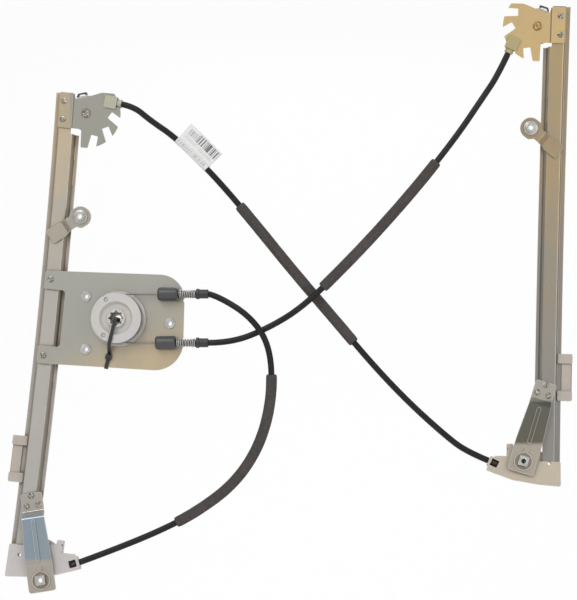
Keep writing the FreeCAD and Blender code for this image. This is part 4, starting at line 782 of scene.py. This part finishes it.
def make_flag(line, material):
    """Paper strip: up one side, round the conduit and back down the other, with its two leaves
    pressed together and slightly wavy. Its section is carried along the conduit."""
    side, normal = line_normals(line)
    hug = sizes().conduit / 2 + FLAG_PLAY
    reach = sizes().flag_reach
    loop = np.linspace(np.radians(12), np.radians(348), 40)
    leaf = np.linspace(0, 1, 16)
    neck = hug * 1.5
    apart = np.full(len(leaf), LEAF_GAP / 2)
    first_up = np.stack([reach - (reach - neck) * leaf, apart], 1)
    around = np.stack([hug * np.cos(loop), hug * np.sin(loop)], 1)
    second_up = np.stack([neck + (reach - neck) * leaf, -apart], 1)
    section = np.concatenate([first_up, around, second_up])
    share = np.linspace(0, 1, len(line))
    lift = section[:, 0].clip(0) / reach
    wave = 0.0009 * np.sin(share[:, None] * 5.1 + 0.6) * lift[None, :] ** 2
    points = (line[:, None, :] + side[:, None, :] * section[None, :, 0, None]
              + normal[:, None, :] * (section[None, :, 1] + wave)[:, :, None])
    across = np.concatenate([1 - leaf, -0.6 * np.sin(loop / 2), leaf])
    uv = np.stack(np.broadcast_arrays(share[:, None], across[None, :]), -1)
    piece = make_piece("paper_flag", points, False, False, material, uv)
    solid = piece.modifiers.new("thickness", "SOLIDIFY")
    solid.thickness = PAPER
    solid.offset = 0.0
    return piece


# Finishes of the solid pieces

STEEL_PIECES = ("left_low_nut", "right_low_nut", "left_tab_nut", "right_tab_nut", "motor_inserts",
                "cable_ends", "left_cable_stop", "right_cable_stop")
RIVETED_PIECES = ("bracket_rivets", "strap_rivets", "plate_rivets", "left_top_axle",
                  "right_top_axle", "left_low_axle", "right_low_axle")
WIRE_PIECES = ("left_rail_cable", "right_rail_cable", "drum_cable", "drum_cable_runs")
BLACK_PIECES = ("left_cable_keeper", "right_cable_keeper", "cable_tie")


def finish_nodes(names, material):
    for name in names:
        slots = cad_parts[name].data.materials
        slots.clear()
        slots.append(material)


# Shares of a strap's height from its foot to the lower bend and from its top to the upper one,
# between which the strap's body carries a painted reflection, and the softness in metres of the
# change of colour there.
STRAP_FOOT, STRAP_TOP, STRAP_BLUR = 0.335, 0.225, 0.0025


def strap_reflection_band(name, reflection_tint):
    """Painted reflection colour of a strap between its two bends, the heights of the bends, and how
    soft the change is."""
    low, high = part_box(name)
    run = high[2] - low[2]
    return reflection_tint, low[2] + run * STRAP_FOOT, high[2] - run * STRAP_TOP, STRAP_BLUR


class REGULATOR_OT_sheet_metal(bpy.types.Operator):
    """Give the pressed sheet its zinc finishes"""
    bl_idname = "regulator.sheet_metal"
    bl_label = "Sheet metal"

    def execute(self, context):
        palette = colours()
        plate_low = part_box("drum_plate")[0]
        rail_low, rail_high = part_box("left_rail")
        far_low, far_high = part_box("right_rail")
        left_strap = strap_reflection_band("left_low_strap", palette.left_strap)
        right_strap = strap_reflection_band("right_low_strap", palette.right_strap)
        zinc = {
            "left_rail": passivated_zinc("zinc_left_rail", palette.left_rail, 0.75,
                                         (0.0, rail_low[2] + 0.25, rail_high[2]),
                                         hollows=DEEP_HOLLOWS),
            # The right rail's folded walls take a grey painted reflection where the other pieces
            # take painted shade.
            "right_rail": passivated_zinc("zinc_right_rail", palette.right_rail, 0.95,
                                          (0.0, far_low[2] + 0.06, far_high[2] - 0.12),
                                          gold=palette.far_gold, wall=palette.far_wall_reflection,
                                          hollows=DEEP_HOLLOWS),
            "drum_plate": passivated_zinc("zinc_plate", palette.plate, 0.75,
                                          (0.53, 0.004, plate_low[2]), 0.5),
            "left_top_bracket": passivated_zinc("zinc_left_fan", palette.left_fan, 0.55,
                                                (np.pi / 2, 0.0485, 0.0500)),
            # The right fan's fold takes the same grey painted reflection.
            "right_top_bracket": passivated_zinc("zinc_right_fan", palette.right_fan, 0.5,
                                                wall=palette.far_wall_reflection),
            "left_tab": passivated_zinc("zinc_left_tab", palette.left_tab, 0.3,
                                        hollows=SMALL_HOLLOWS),
            "right_tab": passivated_zinc("zinc_right_tab", palette.right_tab, 0.38,
                                         hollows=SMALL_HOLLOWS),
            "left_low_strap": passivated_zinc("zinc_left_strap", palette.strap_ends, 0.15,
                                              middle=left_strap, hollows=SMALL_HOLLOWS),
            "right_low_strap": passivated_zinc("zinc_right_strap", palette.strap_ends, 0.12,
                                               middle=right_strap, hollows=SMALL_HOLLOWS),
        }
        for name, material in zinc.items():
            finish_nodes((name,), material)
        return {"FINISHED"}


class REGULATOR_OT_steel(bpy.types.Operator):
    """Give rivets, nuts, inserts and wires their steel"""
    bl_idname = "regulator.steel"
    bl_label = "Steel pieces"

    def execute(self, context):
        finish_nodes(STEEL_PIECES, bright_steel("steel_bright", colours().steel))
        finish_nodes(RIVETED_PIECES, upset_steel("steel_upset", colours().rivet))
        finish_nodes(("right_top_axle",), upset_steel("steel_gilded", colours().gilded_rivet))
        finish_nodes(WIRE_PIECES, wire_rope("wire_strands", tinted(colours().steel, 0.6)))
        return {"FINISHED"}


class REGULATOR_OT_plastics(bpy.types.Operator):
    """Give the moulded pieces their plastics"""
    bl_idname = "regulator.plastics"
    bl_label = "Plastic pieces"

    def execute(self, context):
        palette = colours()
        finish_nodes(("left_low_bracket", "left_low_pulley", "left_top_pulley"),
                     moulded_plastic("plastic_left_housing", palette.left_housing, 0.2, 0.40,
                                     (0.62, 0.52, 0.42), glow=0.1))
        finish_nodes(("right_low_bracket", "right_low_pulley", "right_top_pulley"),
                     moulded_plastic("plastic_right_housing", palette.right_housing, 0.45, 0.40,
                                     (0.52, 0.40, 0.26), glow=0.1))
        finish_nodes(("left_carriage", "right_carriage"),
                     moulded_plastic("plastic_slider", palette.slider, 0.3, 0.45,
                                     (0.48, 0.38, 0.28), glow=0.1))
        for side in ("left", "right"):
            finish_nodes((side + "_top_fitting",),
                         moulded_plastic("plastic_%s_socket" % side,
                                         getattr(palette, side + "_socket"), 0.35, 0.35,
                                         (0.42, 0.38, 0.24), glow=0.1))
        finish_nodes(("cable_drum",), moulded_plastic("plastic_milky", palette.milky, 0.3, 0.36,
                                                      (0.56, 0.49, 0.42), glow=0.25))
        finish_nodes(("upper_cap", "lower_cap"),
                     moulded_plastic("plastic_cap", palette.cap, 0.15, 0.38, (0.08, 0.08, 0.075)))
        finish_nodes(BLACK_PIECES, moulded_plastic("plastic_black", palette.black, 0.2, 0.36,
                                                   (0.03, 0.03, 0.03)))
        return {"FINISHED"}


# Stage

FLOOR_DROP = 0.12
CAMERA_SPOT = (0.2956, -1.67, -0.085)
CAMERA_PAN, CAMERA_TILT = -0.02085, 0.02111


def area_lamp(name, spot, target, side, power):
    lamp = bpy.data.lights.new(name, "AREA")
    lamp.shape = "SQUARE"
    lamp.size = side
    lamp.energy = power
    holder = bpy.data.objects.new(name, lamp)
    holder.location = spot
    holder.rotation_euler = (Vector(target) - Vector(spot)).to_track_quat("-Z", "Y").to_euler()
    bpy.context.scene.collection.objects.link(holder)


def pale_backdrop():
    """White to the camera and in reflections, with a share left that takes the shadow."""
    finish = Finish("backdrop_white")
    rays = finish.node("LightPath")
    seen = Level(finish, rays.outputs["Is Camera Ray"])
    for kind in ("Is Glossy Ray", "Is Transmission Ray"):
        seen = seen.maths("MAXIMUM", seen, Level(finish, rays.outputs[kind]))
    matt = finish.node("BsdfDiffuse", None, Color=(0.9, 0.9, 0.9))
    light = finish.node("Emission", None, Color=(1.0, 1.0, 1.0), Strength=1.0)
    mix = finish.node("MixShader", None, seen * 0.85, matt.outputs[0], light.outputs[0])
    finish.tree.links.new(mix.outputs[0], finish.output.inputs[0])
    return finish.material


def studio_world():
    """Soft surround: brightest in front and overhead, cooler half-way up and darker to the sides,
    and white where the camera looks past the backdrop."""
    world = bpy.data.worlds.new("studio")
    world.use_nodes = True
    tree = world.node_tree
    tree.nodes.clear()

    def maths(operation, *terms):
        node = tree.nodes.new("ShaderNodeMath")
        node.operation = operation
        for socket, term in zip(node.inputs, terms):
            if isinstance(term, bpy.types.NodeSocket):
                tree.links.new(term, socket)
            else:
                socket.default_value = term
        return node.outputs[0]

    direction = tree.nodes.new("ShaderNodeTexCoord").outputs["Generated"]
    parts = tree.nodes.new("ShaderNodeSeparateXYZ")
    tree.links.new(direction, parts.inputs[0])
    frontal = maths("ABSOLUTE", parts.outputs[1])
    level = maths("ADD", maths("MULTIPLY", frontal, 0.62), 0.22)
    ramp = tree.nodes.new("ShaderNodeValToRGB")
    stops = ((0.0, (0.80, 0.76, 0.70)), (0.50, (1.0, 0.985, 0.96)), (0.62, (0.98, 0.985, 0.99)),
             (0.74, (0.62, 0.68, 0.74)), (0.86, (0.80, 0.82, 0.84)), (1.0, (1.15, 1.15, 1.15)))
    elements = ramp.color_ramp.elements
    while len(elements) > 1:
        elements.remove(elements[-1])
    for index, (place, colour) in enumerate(stops):
        stop = elements[0] if index == 0 else elements.new(place)
        stop.position = place
        stop.color = (*colour, 1.0)
    tree.links.new(maths("ADD", maths("MULTIPLY", parts.outputs[2], 0.5), 0.5), ramp.inputs[0])
    overhead = maths("MULTIPLY", maths("MAXIMUM", parts.outputs[2], 0.0), 0.45)
    soft = tree.nodes.new("ShaderNodeBackground")
    tree.links.new(ramp.outputs[0], soft.inputs[0])
    tree.links.new(maths("ADD", level, overhead), soft.inputs[1])
    bright = tree.nodes.new("ShaderNodeBackground")
    bright.inputs[0].default_value = (1.0, 1.0, 1.0, 1.0)
    rays = tree.nodes.new("ShaderNodeLightPath")
    seen = maths("MAXIMUM", rays.outputs["Is Camera Ray"], rays.outputs["Is Transmission Ray"])
    mix = tree.nodes.new("ShaderNodeMixShader")
    output = tree.nodes.new("ShaderNodeOutputWorld")
    tree.links.new(seen, mix.inputs[0])
    tree.links.new(soft.outputs[0], mix.inputs[1])
    tree.links.new(bright.outputs[0], mix.inputs[2])
    tree.links.new(mix.outputs[0], output.inputs[0])
    return world


class REGULATOR_OT_stage(bpy.types.Operator):
    """Set up floor, backdrop, lamps and camera"""
    bl_idname = "regulator.stage"
    bl_label = "Stage"

    def execute(self, context):
        scene = bpy.context.scene
        scene.view_settings.view_transform = "Standard"
        low, high = np.array(solid_low), np.array(solid_high)
        middle = (low + high) / 2
        floor_height = low[2] - FLOOR_DROP
        # The backdrop is a floor that bends up into a wall behind the part.
        half_width, bend_start, bend_radius = 3.2, 1.2, 0.5
        run = np.linspace(-half_width, half_width, 9)
        floor = np.array([-2.6, -1.2, 0.2, 1.0])
        bend = np.radians(np.linspace(0, 90, 13))
        wall = np.array([1.6, 3.4])
        depth = np.concatenate([floor, bend_start + bend_radius * np.sin(bend),
                                np.full(len(wall), bend_start + bend_radius)])
        height = np.concatenate([np.zeros(len(floor)), bend_radius - bend_radius * np.cos(bend),
                                 wall])
        grid = (len(depth), len(run))
        points = np.stack([np.broadcast_to(run[None, :], grid) + middle[0],
                           np.broadcast_to(depth[:, None], grid),
                           np.broadcast_to(height[:, None], grid) + floor_height], -1)
        make_piece("backdrop", points, False, False, pale_backdrop())

        scene.world = studio_world()

        centre = tuple(middle)
        area_lamp("key", (-0.5, -1.5, 1.3), centre, 0.9, 16.0)
        area_lamp("fill", (1.7, -1.3, 0.3), centre, 1.2, 8.0)
        area_lamp("back", (0.2, 1.2, 1.2), centre, 1.0, 8.0)

        lens = bpy.data.cameras.new("camera")
        lens.lens = 95.757
        lens.sensor_width = 36.0
        lens.shift_x = -0.13
        lens.shift_y = 0.11
        camera = bpy.data.objects.new("camera", lens)
        camera.location = CAMERA_SPOT
        level = math.cos(CAMERA_TILT)
        ahead = Vector((math.sin(CAMERA_PAN) * level, math.cos(CAMERA_PAN) * level,
                        math.sin(CAMERA_TILT)))
        camera.rotation_euler = ahead.to_track_quat("-Z", "Y").to_euler()
        scene.collection.objects.link(camera)
        scene.camera = camera
        return {"FINISHED"}


class REGULATOR_PT_panel(bpy.types.Panel):
    """Sidebar list of the regulator's pieces and settings"""
    bl_idname = "REGULATOR_PT_panel"
    bl_label = "Window Regulator"
    bl_space_type = "VIEW_3D"
    bl_region_type = "UI"
    bl_category = "Regulator"

    def draw(self, context):
        for group in (sizes(), colours()):
            column = self.layout.column(align=True)
            for key in group.__annotations__:
                column.prop(group, key)
        for operator in OPERATORS:
            self.layout.operator(operator.bl_idname)


OPERATORS = (REGULATOR_OT_sheet_metal, REGULATOR_OT_steel, REGULATOR_OT_plastics,
             REGULATOR_OT_conduits, REGULATOR_OT_end_plugs, REGULATOR_OT_foam,
             REGULATOR_OT_ferrules, REGULATOR_OT_springs, REGULATOR_OT_flag, REGULATOR_OT_stage)
CLASSES = (RegulatorSizes, RegulatorColours, *OPERATORS, REGULATOR_PT_panel)


def register():
    for item in CLASSES:
        bpy.utils.register_class(item)
    bpy.types.Scene.regulator_sizes = bpy.props.PointerProperty(type=RegulatorSizes)
    bpy.types.Scene.regulator_colours = bpy.props.PointerProperty(type=RegulatorColours)


def unregister():
    del bpy.types.Scene.regulator_colours
    del bpy.types.Scene.regulator_sizes
    for item in reversed(CLASSES):
        bpy.utils.unregister_class(item)


def main():
    register()
    for operator in OPERATORS:
        name = operator.bl_idname.split(".")[1]
        getattr(bpy.ops.regulator, name)()
    bpy.context.view_layer.update()


if __name__ == "__main__":
    main()
